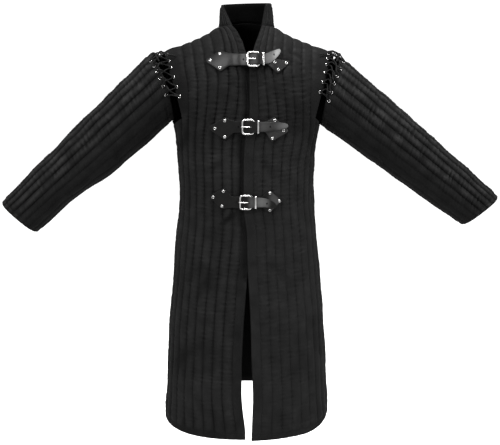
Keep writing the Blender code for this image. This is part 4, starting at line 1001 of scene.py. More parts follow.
def panel_cloth(face, side, columns, low_rows, high_rows):
    """The grid of a front, or of the whole back, whose column numbers then run below 0 on the right."""
    columns, rows = np.array(columns), np.concatenate([low_rows, high_rows])
    low = len(low_rows) - 1
    held = np.abs(columns) <= ARM_LINE + 1e-9
    base = np.full((len(columns), len(rows), 3), np.nan)
    for sign in (-1, 1):
        mine = (columns < 0) == (sign < 0)
        if not mine.any():
            continue
        for part, area in ((mine, slice(0, low + 1)), (mine & held, slice(low + 1, None))):
            own = side if face == "front" else sign
            places = stitch_points(face, own, np.abs(columns[part])[:, None], rows[area][None, :])
            if face == "back":
                places[..., 0] *= sign
            base[np.ix_(part, np.arange(len(rows))[area])] = places
    cloth = Cloth(base, 1 if face == "front" else -1, low, np.flatnonzero(held)[[0, -1]])
    cloth.columns, cloth.rows = columns[:, None], rows[None, :]
    return cloth


def panel_creases(cloth, name):
    """The creases' height; they are laid out on the worn coat, and the right front is built mirrored."""
    x, z = np.nan_to_num(cloth.base[..., 0]), np.nan_to_num(cloth.base[..., 2])
    return creases(x * PANELS[name]["side"], z, CREASES[name])


def panel_height(cloth, name):
    """The outside's height over the stitch surface."""
    panel, seed, q, z = PANELS[name], SEEDS[name], cloth.rows, np.nan_to_num(cloth.base[..., 2])
    front, p = panel["face"] == "front", np.abs(cloth.columns)
    numbered = p if front else cloth.columns
    height = padded_channels(numbered, cloth.along, CHANNEL_PITCH, seed, CROWN, BODY_PUCKER)
    height *= 1 - TOP_FLATTENING * smoothstep((q - TOP_FROM) / (2 - TOP_FROM))
    height = mix(height, PLAIN_CROWN, panel["plainer"] * smoothstep((PLAIN_BELOW - q) / PLAIN_FADE))
    bumps = unevenness(cloth.across * UNEVEN_ACROSS, cloth.along, UNEVEN_LENGTH, seed + 77)
    height += BODY_UNEVENNESS * bumps
    height += panel_creases(cloth, name)
    plump = pillow(p - np.floor(p))
    if front:
        gathers = V_GATHERS * ripple(cloth.along, V_GATHER_LENGTH, seed + 5)
        gathers *= smoothstep((z - V_LEVEL) / V_FADE)
        height = np.where(p < 1, SEAM_CROWN + gathers * np.sin(math.pi * np.clip(p, 0, 1)), height)
        beside = (cloth.from_start - FRONT_STITCH) / FRONT_GROOVE_HALF
        height -= BODY_GROOVE * np.exp(-(beside**2)) * (q < GROOVE_BELOW)
        plump = np.where(p < 1, 1, plump)
    height = mix(height, SEAM_CROWN, smoothstep((q - 1) / ARM_FLAT_FADE) * (p > ARM_LINE - 1))
    for distance, width, crown in ((cloth.along, HEM_BAND, SEAM_CROWN), (cloth.to_top, TOP_BAND, TOP_CROWN)):
        height = banded(height, distance, width, crown * (0.45 + 0.55 * plump), BODY_FADE, BODY_GROOVE)
    return np.nan_to_num(np.maximum(height, LEAST_HEIGHT))


def panel_painted_light(cloth, height, name):
    """The cloth's painted light: highlights on the ridges, about the neck and on creases' lips; shade about
    the chest and in creases.
    """
    panel, p = PANELS[name], np.abs(cloth.columns)
    z = np.nan_to_num(cloth.base[..., 2])
    fade = mix(panel["tone"], np.clip(height / CROWN, 0, 1), panel["contrast"])
    fade -= CHEST_SHADE * smoothstep((z - CHEST_LEVEL) / CHEST_FADE)
    light = NECK_LIGHT * smoothstep((z - NECK_LEVEL) / NECK_FADE)
    light = light * (0.75 + 0.5 * ripple(cloth.along, 0.02, SEEDS[name] + 9))
    plain = 1 if panel["face"] == "front" else 0  # channels next to the front edge that stay dark
    fade += light * np.exp(-(((p - np.floor(p) - NECK_LIGHT_AT) / NECK_LIGHT_HALF) ** 2)) * (p > plain)
    return fade + CREASE_TONE * panel_creases(cloth, name)


def press_under(cloth):
    """Moves the under front in beneath the upper one, and returns how strongly, from 0 to 1."""
    x, z = cloth.base[..., 0], np.nan_to_num(cloth.base[..., 2])
    upper, own = edge_at("front", 1, z), -edge_at("front", -1, z)
    press = smoothstep((own - upper + UNDERLAP[0]) / UNDERLAP[1])
    press *= smoothstep((-x - upper + UNDERLAP_END[0]) / UNDERLAP_END[1])
    cloth.base = cloth.base - cloth.normal * (UNDERLAP_DROP * press)[..., None]
    return np.nan_to_num(press)


def make_panel(name, finish):
    panel = PANELS[name]
    face, side = panel["face"], panel["side"]
    near = (ARM_LINE, 0.0, SIDE_LINE) if face == "front" else (ARM_LINE, SIDE_LINE)
    columns, plain = panel_columns(panel["steps"], near), panel_columns(PLAIN_STEPS)
    if face == "back":
        columns, plain = ([-c for c in half[:0:-1]] + half for half in (columns, plain))
    fine = panel_cloth(face, side, columns, *panel_rows(*panel["rows"]))
    low, high = (np.linspace(0, 1, count) for count in PLAIN_ROWS)
    coarse = panel_cloth(face, side, plain, low, 1 + high[1:])
    height = panel_height(fine, name)
    if name == "front_right":
        height *= 1 - UNDERLAP_FLATTER * press_under(fine)
        press_under(coarse)
    fade, seam = panel_painted_light(fine, height, name), 1 if face == "front" else -1
    return wall(name, fine, coarse, height, fade, finish, np.abs(fine.columns), side, seam)


# ---- collar ----


def neck_ring():
    """The panels' neck edge from the right end round to the left: stitch points and normals."""
    ups = np.linspace(0, NECK_LINE, NECK_LINE * 2 * COLLAR_STEPS + 1)
    parts = []
    for face, side in (("front", -1), ("back", -1), ("back", 1), ("front", 1)):
        line = ups if (face == "back") == (side > 0) else ups[::-1]
        found = stitch_points(face, side, line[:, None], np.array([[1.99, 2.0]]))
        found[..., 0] *= side
        parts.append(found[1 if parts else 0 :])
    low, high = np.concatenate(parts).swapaxes(0, 1)
    return high, unit(high - low)


def make_collar(finish):
    feet, rising = neck_ring()
    count = len(feet)
    share = np.arange(count) / (count - 1)
    turn = np.arctan2(feet[:, 0], COLLAR_CENTRE_Y - feet[:, 1])
    right, left = (np.clip(1 - s / 0.5, 0, None) ** COLLAR_SLOPE_FADE for s in (share, 1 - share))
    turn = turn - COLLAR_SLOPES[0] * right + COLLAR_SLOPES[1] * left
    tops = np.stack([
        COLLAR_TOP_HALF * np.sin(turn),
        COLLAR_CENTRE_Y - COLLAR_TOP_DEPTH * np.cos(turn),
        COLLAR_HEIGHT + COLLAR_BACK_RISE * (1 - np.cos(turn)) / 2 + COLLAR_TILT * np.sin(turn),
    ], axis=1)
    feet = feet - rising * COLLAR_SINK

    def cloth(stops, rows):
        v = rows[None, :, None]
        return Cloth(feet[stops, None, :] * (1 - v) + tops[stops, None, :] * v, -1)

    rows = np.concatenate([[0, 0.012, 0.03, 0.055], np.linspace(0.08, 0.93, 20), [0.955, 0.975, 0.99, 1.0]])
    fine = cloth(np.arange(count), rows)
    coarse = cloth(np.arange(0, count, COLLAR_STEPS), np.linspace(0, 1, 7))
    numbered = (np.arange(count) / COLLAR_STEPS)[:, None]
    height = padded_channels(numbered, fine.along, COLLAR_PITCH, SEEDS["collar"], *COLLAR_QUILTING)
    for distance, width, crown, fade in (
        (fine.to_top, 0.006, 0.7, 0.006), (fine.along, 0.003, 0.7, 0.006),
        (fine.from_start, 0.006, 0.8, 0.004), (fine.from_end, 0.006, 0.8, 0.004),
    ):
        height = banded(height, distance, width, SEAM_CROWN * crown, fade)
    height = np.maximum(height, LEAST_HEIGHT)
    # the collar's tone is painted paler with the channels' height, a painted highlight on its ridges
    return wall("collar", fine, coarse, height, np.clip(height / CROWN, 0, 1), finish, numbered)


# ---- sleeves ----


def sleeve_frame(sleeve):
    """The head's centre, the direction down the arm, the length and the direction up across it."""
    head, cuff = sleeve["head"], sleeve["cuff"]
    start = np.array((head[0], 0, head[1]))
    along = np.array((cuff[0], 0, cuff[1])) - start
    length = float(np.linalg.norm(along))
    along = along / length
    return start, along, length, np.array((-along[2], 0, along[0]))


def sleeve_points(sleeve, turn, share, rise=0.0):
    """Points on the +X side: turn runs from the top forwards, share from the head to the cuff."""
    start, down_arm, length, across = sleeve_frame(sleeve)
    turn, share = np.broadcast_arrays(np.asarray(turn, float), np.asarray(share, float))
    up, forward = np.cos(turn), np.sin(turn)
    sizes = sleeve["sizes"]
    radius_up = np.where(up > 0, through(sizes, 1, share), through(sizes, 2, share))
    radius_out = np.where(forward > 0, through(sizes, 3, share), through(sizes, 4, share))
    bulge = np.where(forward > 0, sleeve["head_bulge"], sleeve["back_bulge"])
    head = -sleeve["head_slant"] * up - bulge * forward**2
    for reach, where, power in (
        (sleeve["under_back"], -UNDER_BACK_TURN, 4), (HEAD_LAP, -HEAD_LAP_TURN, 3),
        (sleeve["front_lap"], FRONT_LAP_TURN, 4),
    ):
        head = head - reach * np.clip(np.cos(turn - where), 0, None) ** power
    cuff = sleeve["cuff_slant"] * up - CUFF_BOW * forward**2
    down = head * (1 - share) ** 2 + (length + cuff) * share
    return (
        start
        + down[..., None] * down_arm
        + ((radius_up + rise) * up)[..., None] * across
        + ((radius_out + rise) * forward)[..., None] * np.array((0.0, -1.0, 0.0))
    )


def sleeve_dents(angle, along, name):
    """How deep the sleeve is dented, with a raised lip down the arm from each dent."""
    total = 0
    for centre, where, wide, depth in SLEEVE_DENTS[name]:
        off = (np.mod(angle - where + math.pi, 2 * math.pi) - math.pi) / wide
        bent = (along - centre - DENT_BOW * np.sin(angle * 2 + SEEDS["sleeve_" + name])) / DENT_HALF
        lip = DENT_LIP[0] * np.exp(-((bent - DENT_LIP[1]) ** 2))
        total = total + depth * np.exp(-(off**2)) * (np.exp(-(bent**2)) - lip)
    return total


def make_sleeve(name, finish):
    sleeve, seed = SLEEVES[name], SEEDS["sleeve_" + name]

    def cloth(numbers, shares):
        turn = 2 * math.pi * numbers / SLEEVE_CHANNELS
        return Cloth(sleeve_points(sleeve, turn[:, None], shares[None, :]), 1, closed=True)

    numbered = np.array([k + step for k in range(SLEEVE_CHANNELS) for step in SLEEVE_STEPS])
    ends = (0, 0.001, 0.0025, 0.0045), (0.9955, 0.9975, 0.999, 1.0)
    fine = cloth(numbered, np.concatenate([ends[0], np.linspace(0.007, 0.993, SLEEVE_ROW_COUNT), ends[1]]))
    coarse = cloth(np.arange(0, SLEEVE_CHANNELS, 0.5), np.linspace(0, 1, 25))
    angle, numbered = (2 * math.pi * numbered / SLEEVE_CHANNELS)[:, None], numbered[:, None]
    height = padded_channels(numbered, fine.along, SLEEVE_PITCH, seed, SLEEVE_CROWN, sleeve["pucker"],
                             SLEEVE_GATHERS)
    under = PLAIN_UNDERSIDE * smoothstep((UNDERSIDE_FROM - np.cos(angle)) / UNDERSIDE_FADE)
    height = mix(height, PLAIN_CROWN, under)
    ridge = np.clip(height / CROWN, 0, 1)
    bumps = unevenness(angle * SLEEVE_UNEVEN_RADIUS, fine.along, SLEEVE_UNEVEN_LENGTH, seed + 3)
    height += SLEEVE_UNEVENNESS * bumps
    height -= sleeve_dents(angle, fine.along, name)
    ribbed = SLEEVE_END_CROWN * (0.5 + 0.5 * pillow(numbered - np.floor(numbered)))
    for distance, width in ((fine.along, SLEEVE_HEAD_BAND), (fine.to_top, CUFF_BAND)):
        height = banded(height, distance, width, ribbed, SLEEVE_FADE, SLEEVE_GROOVE)
    height = np.maximum(height, LEAST_HEIGHT)
    # painted light: a painted highlight along each ridge, darker seams, and one even painted tone underneath
    fade = mix(SLEEVE_TONES[0] + SLEEVE_TONES[1] * ridge**RIDGE_POWER, UNDERSIDE_TONE, under)
    return wall("sleeve_" + name, fine, coarse, height, fade, finish, numbered * 0.94, sleeve["side"])


# ---- stitching ----


def line_at(cloth, run, distance, through_rows=False):
    """The outside's points at a distance along run, which is one of the cloth's distances.

    One point lies in each column, or with through_rows in each row.
    """
    found = []
    outer, run = (cloth.outer.swapaxes(0, 1), run.T) if through_rows else (cloth.outer, run)
    for places, lengths in zip(outer, run):
        here = ~np.isnan(places[:, 0]) & (lengths > -1e-6)
        order = np.argsort(lengths[here])
        found.append([np.interp(distance, lengths[here][order], places[here, c][order]) for c in range(3)])
    return np.array(found + found[:1] if cloth.closed else found)


def stitches(name, lines, finish):
    """Rows of thread stitches, each a bead half sunk in the cloth; lines are (points, points inside)."""
    points, faces = [], []
    for line, inside in lines:
        run = run_of(line)
        read = lambda s, values: np.stack([np.interp(s, run, values[:, c]) for c in range(3)], axis=1)
        at = np.arange(STITCH_PITCH, run[-1] - STITCH_PITCH, STITCH_PITCH)
        middle = read(at, line)
        ahead = unit(read(at + 0.001, line) - read(at - 0.001, line))
        out = middle - read(at, inside)
        out = unit(out - (out * ahead).sum(axis=1, keepdims=True) * ahead)
        for m, a, o, b in zip(middle, ahead, out, np.cross(ahead, out)):
            start = len(points)
            tips = [m + a * STITCH_LENGTH * end - o * STITCH_SINK for end in (-0.5, 0.5)]
            rings = [m + a * STITCH_LENGTH * end + b * across + o * rise
                     for end in (-0.3, 0.3) for across, rise in STITCH_SECTION]
            points += [tips[0], *rings, tips[1]]
            for k in range(4):
                n = (k + 1) % 4
                faces.append((start, start + 1 + n, start + 1 + k))
                faces.append((start + 1 + k, start + 1 + n, start + 5 + n, start + 5 + k))
                faces.append((start + 9, start + 5 + k, start + 5 + n))
    show(name, points, faces, finish)


def make_stitching(pieces, finish):
    lines = {}
    for name, side in (("front_right", -1), ("front_left", 1)):
        front = pieces[name]
        rows = [line_at(front, front.from_start, at, True) for at in (FRONT_STITCH, BAND + 0.0004)]
        rows.append(line_at(front, front.along, HEM_BAND))
        lines[name] = [(line, line * (0, 0, 1) + (0.1 * side, 0, 0)) for line in rows]
    hem = line_at(pieces["back"], pieces["back"].along, HEM_BAND)
    lines["back"] = [(hem, hem * (0.3, 0, 1))]
    collar = pieces["collar"]
    rows = [line_at(collar, collar.to_top, 0.005), line_at(collar, collar.from_start, 0.005, True),
            line_at(collar, collar.from_end, 0.005, True)]
    lines["collar"] = [(line, line * (0.3, 0.3, 1)) for line in rows]
    for name, sleeve in SLEEVES.items():
        cloth, mirror = pieces["sleeve_" + name], (sleeve["side"], 1, 1)
        start, down_arm = sleeve_frame(sleeve)[:2]
        rows = line_at(cloth, cloth.along, SLEEVE_HEAD_BAND), line_at(cloth, cloth.to_top, CUFF_BAND)
        shares = [((line * mirror - start) @ down_arm)[:, None] for line in rows]
        lines["sleeve_" + name] = [(line, (start + s * down_arm) * mirror) for line, s in zip(rows, shares)]
    for name, pairs in lines.items():
        stitches("stitching_" + name, pairs, finish)


# ---- tubes and turned pieces ----


def smooth_route(knots, step):
    """Points a step apart on a smooth curve through the knots."""
    knots = np.array([tuple(k) for k in knots])
    ends = np.concatenate([[2 * knots[0] - knots[1]], knots, [2 * knots[-1] - knots[-2]]])
    found = []
    for a, b, c, d in zip(ends, ends[1:], ends[2:], ends[3:]):
        count = max(2, int(np.linalg.norm(c - b) / step) + 1)
        t = np.linspace(0, 1, count, endpoint=False)[:, None]
        bend, twist = 2 * a - 5 * b + 4 * c - d, 3 * b - a - 3 * c + d
        found.append(0.5 * (2 * b + (c - a) * t + bend * t**2 + twist * t**3))
    return np.concatenate(found + [knots[-1:]])


def tube(name, route, radii, finish):
    """A round tube with domed ends along a route; radii is one radius for each point."""
    route = np.asarray(route)
    ahead, run = unit(np.gradient(route, axis=0)), run_of(route)
    beside = np.cross(ahead[0], (0.3, 0.2, 0.9))
    points, uv = [], []
    for place, direction, radius, s in zip(route, ahead, radii, run):
        beside = unit(beside - direction * (beside @ direction))
        over = np.cross(direction, beside)
        for k in range(TUBE_SIDES):
            angle = 2 * math.pi * k / TUBE_SIDES
            points.append(place + radius * (math.cos(angle) * beside + math.sin(angle) * over))
            uv.append((abs(2 * k / TUBE_SIDES - 1), s))
    faces = loft(len(route), TUBE_SIDES)
    for end, way in ((0, -1), (len(route) - 1, 1)):
        row, tip = end * TUBE_SIDES, len(points)
        points.append(route[end] + ahead[end] * way * radii[end] * 0.5)
        uv.append((0.5, run[end]))
        faces += [(row + k, row + (k + 1) % TUBE_SIDES, tip) for k in range(TUBE_SIDES)]
    return show(name, points, faces, finish, uv)


def turned(place, normal, profile, segments):
    """Points and faces of a turned piece: profile points are (radius, height), joined in a loop."""
    turn = normal.to_track_quat("Z", "Y").to_matrix()
    points = []
    for angle in (2 * math.pi * k / segments for k in range(segments)):
        points += [place + turn @ Vector((r * math.cos(angle), r * math.sin(angle), h)) for r, h in profile]
    return points, loft(segments, len(profile), True)


def joined(name, parts, finish):
    points, faces = [], []
    for more, quads in parts:
        faces += [tuple(len(points) + k for k in quad) for quad in quads]
        points += more
    return show(name, points, faces, finish)


# ---- lacing ----


def mirrored(vector, side):
    return Vector((vector[0] * side, vector[1], vector[2]))


def beside_armhole(name, face, pair, inset, lift):
    """A point over a body panel beside the armhole, and the outward normal there."""
    side, sign = SLEEVES[name]["side"], -1 if face == "front" else 1
    levels = EYELETS[name]["levels"]
    level = float(np.interp(pair, range(len(levels)), levels))
    x = float(arm_edge_at(face, side, level)) - inset
    step = 0.001
    y = float(depth_at(face, x, level))
    slope_x = (y - float(depth_at(face, x - step, level))) / step
    slope_z = (y - float(depth_at(face, x, level - step))) / step
    normal = Vector((-slope_x, sign, -slope_z)).normalized()
    place = Vector((x, sign * y, level)) + normal * (SEAM_CROWN + lift)
    return mirrored(place, side), mirrored(normal, side)


def beside_head(name, face, pair, inset, lift):
    """A point over a sleeve beside its head's edge, and the outward normal there."""
    sleeve, turns = SLEEVES[name], EYELETS[name]["turns"]
    turn = math.radians(float(np.interp(pair, range(len(turns)), turns))) * (1 if face == "front" else -1)
    start, _, length, _ = sleeve_frame(sleeve)
    place, ahead, beside = (
        Vector(sleeve_points(sleeve, turn + more_turn, inset / length + more_share, CROWN * 0.5))
        for more_turn, more_share in ((0, 0), (0, 0.02), (0.02, 0))
    )
    normal = (beside - place).cross(ahead - place).normalized()
    if normal.dot(place - Vector(start)) < 0:
        normal = -normal
    return mirrored(place + normal * lift, sleeve["side"]), mirrored(normal, sleeve["side"])


def over_gap(name, face, pair, lift):
    """A point over the middle of the gap, and the directions across to the sleeve and outwards."""
    body, body_normal = beside_armhole(name, face, pair, 0, 0)
    head, head_normal = beside_head(name, face, pair, 0, 0)
    outward = (body_normal + head_normal).normalized()
    return body.lerp(head, 0.5) + outward * lift, (head - body).normalized(), outward


def lace_route(name, face):
    """One lace: a tail, down one zigzag, straight across, up the other, and a tail."""
    sides = (beside_armhole, beside_head)
    last = len(EYELETS[name]["levels"]) - 1

    def turn_round(side, pair, going):
        """Round an eyelet; going is 1 on the way down and -1 on the way up."""
        steps = [0] if pair == 0 else [s for s in (-going, 0, going) if pair + s <= last]
        insets = [EYELET_INSET + (BESIDE_EYELET if s else ROUND_EYELET) for s in steps]
        return [sides[side](name, face, pair + s * LACE_TURN, inset, LACE_LIFT)[0]
                for s, inset in zip(steps, insets)]

    def strand(side, pair, going, lift):
        """Over the gap from one side's edge to the other side's."""
        return [
            sides[side](name, face, pair + going * STRAND[0], 0.0, LACE_RIM_LIFT)[0],
            over_gap(name, face, pair + going * STRAND[1], lift)[0],
            sides[1 - side](name, face, pair + going * STRAND[2], 0.0, LACE_RIM_LIFT)[0],
        ]

    low = LACE_RIM_LIFT + LACE_MID_LIFT
    middle = []
    for pair in range(last):
        middle += turn_round(pair % 2, pair, 1) + strand(pair % 2, pair, 1, low)
    middle += turn_round(last % 2, last, 1) + [over_gap(name, face, last, low)[0]]
    for pair in range(last, 0, -1):
        side = (pair + 1) % 2
        middle += turn_round(side, pair, -1) + strand(side, pair, -1, low + LACE_CROSSING)
    middle += turn_round(1, 0, -1)

    knot, across, outward = over_gap(name, face, KNOT_PAIR, 0)
    up = (over_gap(name, face, 0, 0)[0] - over_gap(name, face, 1, 0)[0]).normalized()
    tail_a, tail_b = (
        [knot + (across * a + up * b + outward * c) / 1000 for a, b, c in tail]
        for tail in (KNOT_TAIL_A, KNOT_TAIL_B)
    )
    on_cloth = CROWN - SEAM_CROWN + LACE_RADIUS + SEAT_GAP
    free_end = beside_armhole(name, face, FREE_END_PAIR, FREE_END_INSET, on_cloth)[0]
    drop = [over_gap(name, face, pair, height)[0] for pair, height in TAIL_DROP]
    return [free_end] + tail_a + middle + tail_b + drop


def make_eyelets(name, face, trees, metal, hole):
    """The rings of the six pairs of eyelets beside one armhole, each hole holding a dark disc of painted
    shade.
    """
    width = EYELET_OUTER - EYELET_HOLE
    ring = [(EYELET_HOLE + width * (0.5 - 0.5 * math.cos(a)), EYELET_HEIGHT * math.sin(a))
            for a in np.linspace(math.pi, 0, 7)] + [(EYELET_OUTER, EYELET_FOOT), (EYELET_HOLE, EYELET_FOOT)]
    # a dark disc of painted shade down each eyelet's hole
    rim, top, under = EYELET_HOLE + 0.0002, 0.0002, -0.0004
    disc = [(0.0001, top), (rim, top), (rim, under), (0.0001, under)]
    for piece, beside in (("body", beside_armhole), ("sleeve", beside_head)):
        rings, holes = [], []
        for k in range(len(EYELETS[name]["levels"])):
            place, outward = beside(name, face, k, EYELET_INSET, 0)
            seated, normal = seat(trees[piece], place, outward, EYELET_OUTER)
            rings.append(turned(seated, normal, ring, 28))
            holes.append(turned(seated, normal, disc, 20))
        made = joined(f"eyelets_{piece}_{name}_{face}", rings, metal)
        if face == "front":
            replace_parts(made, *(f"eyelet_{piece}_{name}_{k + 1}" for k in range(EYELETS_SHOWN)))
        joined(f"eyelet_holes_{piece}_{name}_{face}", holes, hole)


def make_lacing(pieces, finishes):
    for name, face in ((name, face) for name in SLEEVES for face in ("front", "back")):
        body = "back" if face == "back" else "front_" + name
        trees = {"body": surface_of(pieces[body].object),
                 "sleeve": surface_of(pieces["sleeve_" + name].object)}
        make_eyelets(name, face, trees, finishes["nickel"], finishes["hole"])
        route = smooth_route(lace_route(name, face), LACE_STEP)
        made = tube(f"cord_{name}_{face}", route, [LACE_RADIUS] * len(route), finishes["lace"])
        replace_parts(made, f"lace_{name}_{face}")
        float(run_of(route)[-1])


# ---- straps and buckles ----


def over_cloth(closure, u, v, lift):
    """Points over the quilting's crowns: u to the wearer's left, v up, from the buckle's middle."""
    u, v, lift = np.broadcast_arrays(*(np.asarray(a, float) for a in (u, v, lift)))
    x, z, step = closure["x"] + u, closure["z"] + v, 0.001
    depth = lambda right, up: depth_at("front", x + right, z + up)
    slopes = [(depth(a, b) - depth(-a, -b)) / (2 * step) for a, b in ((step, 0), (0, step))]
    normal = unit(np.stack([-slopes[0], -np.ones_like(x), -slopes[1]], axis=-1))
    return np.stack([x, -depth(0, 0), z], axis=-1) + normal * (CROWN + lift)[..., None]


def buckle_frame(closure):
    """The rigid frame at the buckle's middle: axes across, up and outwards."""
    read = lambda u, v: Vector(over_cloth(closure, u, v, 0))
    across = (read(0.012, 0) - read(-0.012, 0)).normalized()
    outward = across.cross(read(0, 0.012) - read(0, -0.012)).normalized()
    turn = Matrix((across, outward.cross(across).normalized(), outward)).transposed().to_4x4()
    return Matrix.Translation(read(0, 0)) @ turn


def over_front(closure, u, v, lift):
    """As over_cloth, but flat about the buckle, which holds the leather straight."""
    frame_here = np.array(buckle_frame(closure))
    u, v, lift = np.broadcast_arrays(*(np.asarray(a, float) for a in (u, v, lift)))
    flat = np.stack([u, v, lift], axis=-1) @ frame_here[:3, :3].T + frame_here[:3, 3]
    share = smoothstep((np.abs(u) - FLAT_REACH) / FLAT_FADE)[..., None]
    return mix(flat, over_cloth(closure, u, v, lift), share)


def kite_stations(closure, key, neck_half):
    """The riveted base, from its point in to its neck, as leather_strip's stations."""
    kite, side = closure[key], -1 if key == "left" else 1
    half = kite["half"] + CORNER_MARGIN
    rows = []
    for out, wide in ((1.0, 0.003 / half), (0.5, 0.54), (0.0, 1.0)):  # shares of the way out and half width
        u, v = (mix(kite[axis], kite["point_" + axis], out) for axis in "uv")
        rows.append((u, v, half * wide, REST, kite["lean"] * (1 - out)))
    for back, flare in ((0.006, 0.72), (0.013, 0.34), (0.022, 0.0)):  # distance in, share of the flare left
        share, wide = float(smoothstep(1 - back / 0.022)), mix(neck_half, half, flare)
        rows.append((kite["u"] - side * back, kite["v"] * share, wide, REST, kite["lean"] * share))
    return rows


def strap_stations(closure):
    middle = [(u, 0.0, half, lift, 0.0) for u, half, lift in STRAP_RUN]
    start, tail = STRAP_RUN[-1][0], []
    for share, rise, half in closure["tail"]:
        lift = REST + LEATHER + TAIL_LIFT + 0.0012 * max(0.0, 1 - share / 0.5)
        tail.append((mix(start, closure["tip"], share), rise, half, lift, 0.0))
    return kite_stations(closure, "left", STRAP_HALF) + middle + tail


def base_stations(closure):
    neck = [(u, 0.0, BASE_NECK_HALF, NECK_REST, 0.0) for u in (KEEPER_U + 0.005, 0.018, 0.0095)]
    return kite_stations(closure, "right", BASE_NECK_HALF) + neck


def strip_section(half):
    """A leather strip's outline across, from its upper left: (distance, height)."""
    edge = min(LEATHER_EDGE, half * 0.9)
    top = [(w * (half - edge), LEATHER + LEATHER_CAMBER * (1 - w * w)) for w in np.linspace(-1, 1, 9)]
    right = [(half - edge + edge * math.sin(a), LEATHER - edge + edge * math.cos(a))
             for a in (0.5, 1.0, math.pi / 2)]
    right.append((half - edge * 0.2, 0.0004))
    low = [(half - edge, 0.0), (0.0, 0.0), (edge - half, 0.0)]
    return np.array(top + right + low + [(-w, h) for w, h in right[::-1]])


def leather_strip(name, closure, stations, sharp_ends, highlight_table, finish):
    """A strip of leather over the cloth: stations are (u, middle v, half width, lift, lean along u)."""
    rows = np.array(sorted(stations))
    u = np.arange(rows[0, 0], rows[-1, 0] + 1e-6, LEATHER_STEP)
    blur = np.exp(-np.linspace(-2, 2, 9) ** 2 / 2)
    middle, half, lift, lean = (
        np.convolve(np.pad(np.interp(u, rows[:, 0], column), 4, mode="edge"), blur / blur.sum(), "valid")
        for column in rows.T[1:]
    )
    for end, distance in (("low", u - u[0]), ("high", u[-1] - u)):
        if end in sharp_ends:
            half = half * np.sqrt(1 - (1 - np.clip(distance / TIP_ROUNDING, 0.02, 1)) ** 2)
    half = np.maximum(half, 0.0004)
    sections = np.array([strip_section(h) for h in half])
    across, height = sections[..., 0], sections[..., 1]
    share = across / half[:, None]
    u, middle, lift, lean = (values[:, None] for values in (u, middle, lift, lean))
    wave = LEATHER_WAVE * np.sin(u * 210 + closure["z"] * 50)
    points = over_front(closure, u + lean * share, middle + across, lift + height + wave)
    # a painted highlight along the strip, fainter towards its edges
    highlight_tone = through(highlight_table, 1, u) * (1 - 0.35 * share**2)
    count, size = share.shape
    faces = loft(count, size) + [tuple(range(size)), tuple(range((count - 1) * size, count * size))]
    return show(name, points.reshape(-1, 3), faces, finish, fade=highlight_tone.ravel())


def punch(strap, closure, holes):
    """Cuts round holes, and the oblong one of the prong, through a strap."""
    cutters = []
    for u, v, half_u, half_v in holes:
        place = Vector(over_front(closure, u, v, LEATHER))
        out = Vector(over_front(closure, u, v, 0.02)) - place
        turn = Matrix.Translation(place) @ out.to_track_quat("Z", "Y").to_matrix().to_4x4()
        if half_u != half_v:
            turn = buckle_frame(closure) @ Matrix.Translation((u, v, 0.006))
        work = bmesh.new()
        bmesh.ops.create_cone(work, cap_ends=True, segments=20, radius1=1, radius2=1, depth=0.03,
                              matrix=turn @ Matrix.Diagonal((half_u, half_v, 1, 1)))
        mesh = bpy.data.meshes.new("cutter")
        work.to_mesh(mesh)
        work.free()
        cutters.append(put_in_scene("cutter", mesh))
        cut = strap.modifiers.new("hole", "BOOLEAN")
        cut.operation, cut.solver, cut.object = "DIFFERENCE", "EXACT", cutters[-1]
    graph = bpy.context.evaluated_depsgraph_get()
    mesh = bpy.data.meshes.new_from_object(strap.evaluated_get(graph))
    strap.modifiers.clear()
    strap.data = mesh
    mesh.shade_smooth()
    mesh.set_sharp_from_angle(angle=math.radians(40))
    for cutter in cutters:
        bpy.data.objects.remove(cutter, do_unlink=True)


def rounded_rectangle(half_u, half_v, radius, per_corner):
    """Points round a rectangle with round corners, anticlockwise."""
    points = []
    for k, (su, sv) in enumerate(((1, 1), (-1, 1), (-1, -1), (1, -1))):
        for m in range(per_corner):
            angle = math.pi / 2 * (k + m / (per_corner - 1))
            points.append((su * (half_u - radius) + radius * math.cos(angle),
                           sv * (half_v - radius) + radius * math.sin(angle)))
    return points


def swept_loop(name, centres, section, frame_here, finish):
    """A closed metal loop: at each centre (u, v), a section of (outwards from the loop, up) points."""
    points, count = [], len(centres)
    for k, (u, v) in enumerate(centres):
        before, after = centres[k - 1], centres[(k + 1) % count]
        run = Vector((after[0] - before[0], after[1] - before[1], 0)).normalized()
        out = Vector((run.y, -run.x, 0))
        points += [frame_here @ (Vector((u, v, h)) + out * a) for a, h in section]
    return show(name, points, loft(count, len(section), True), finish)


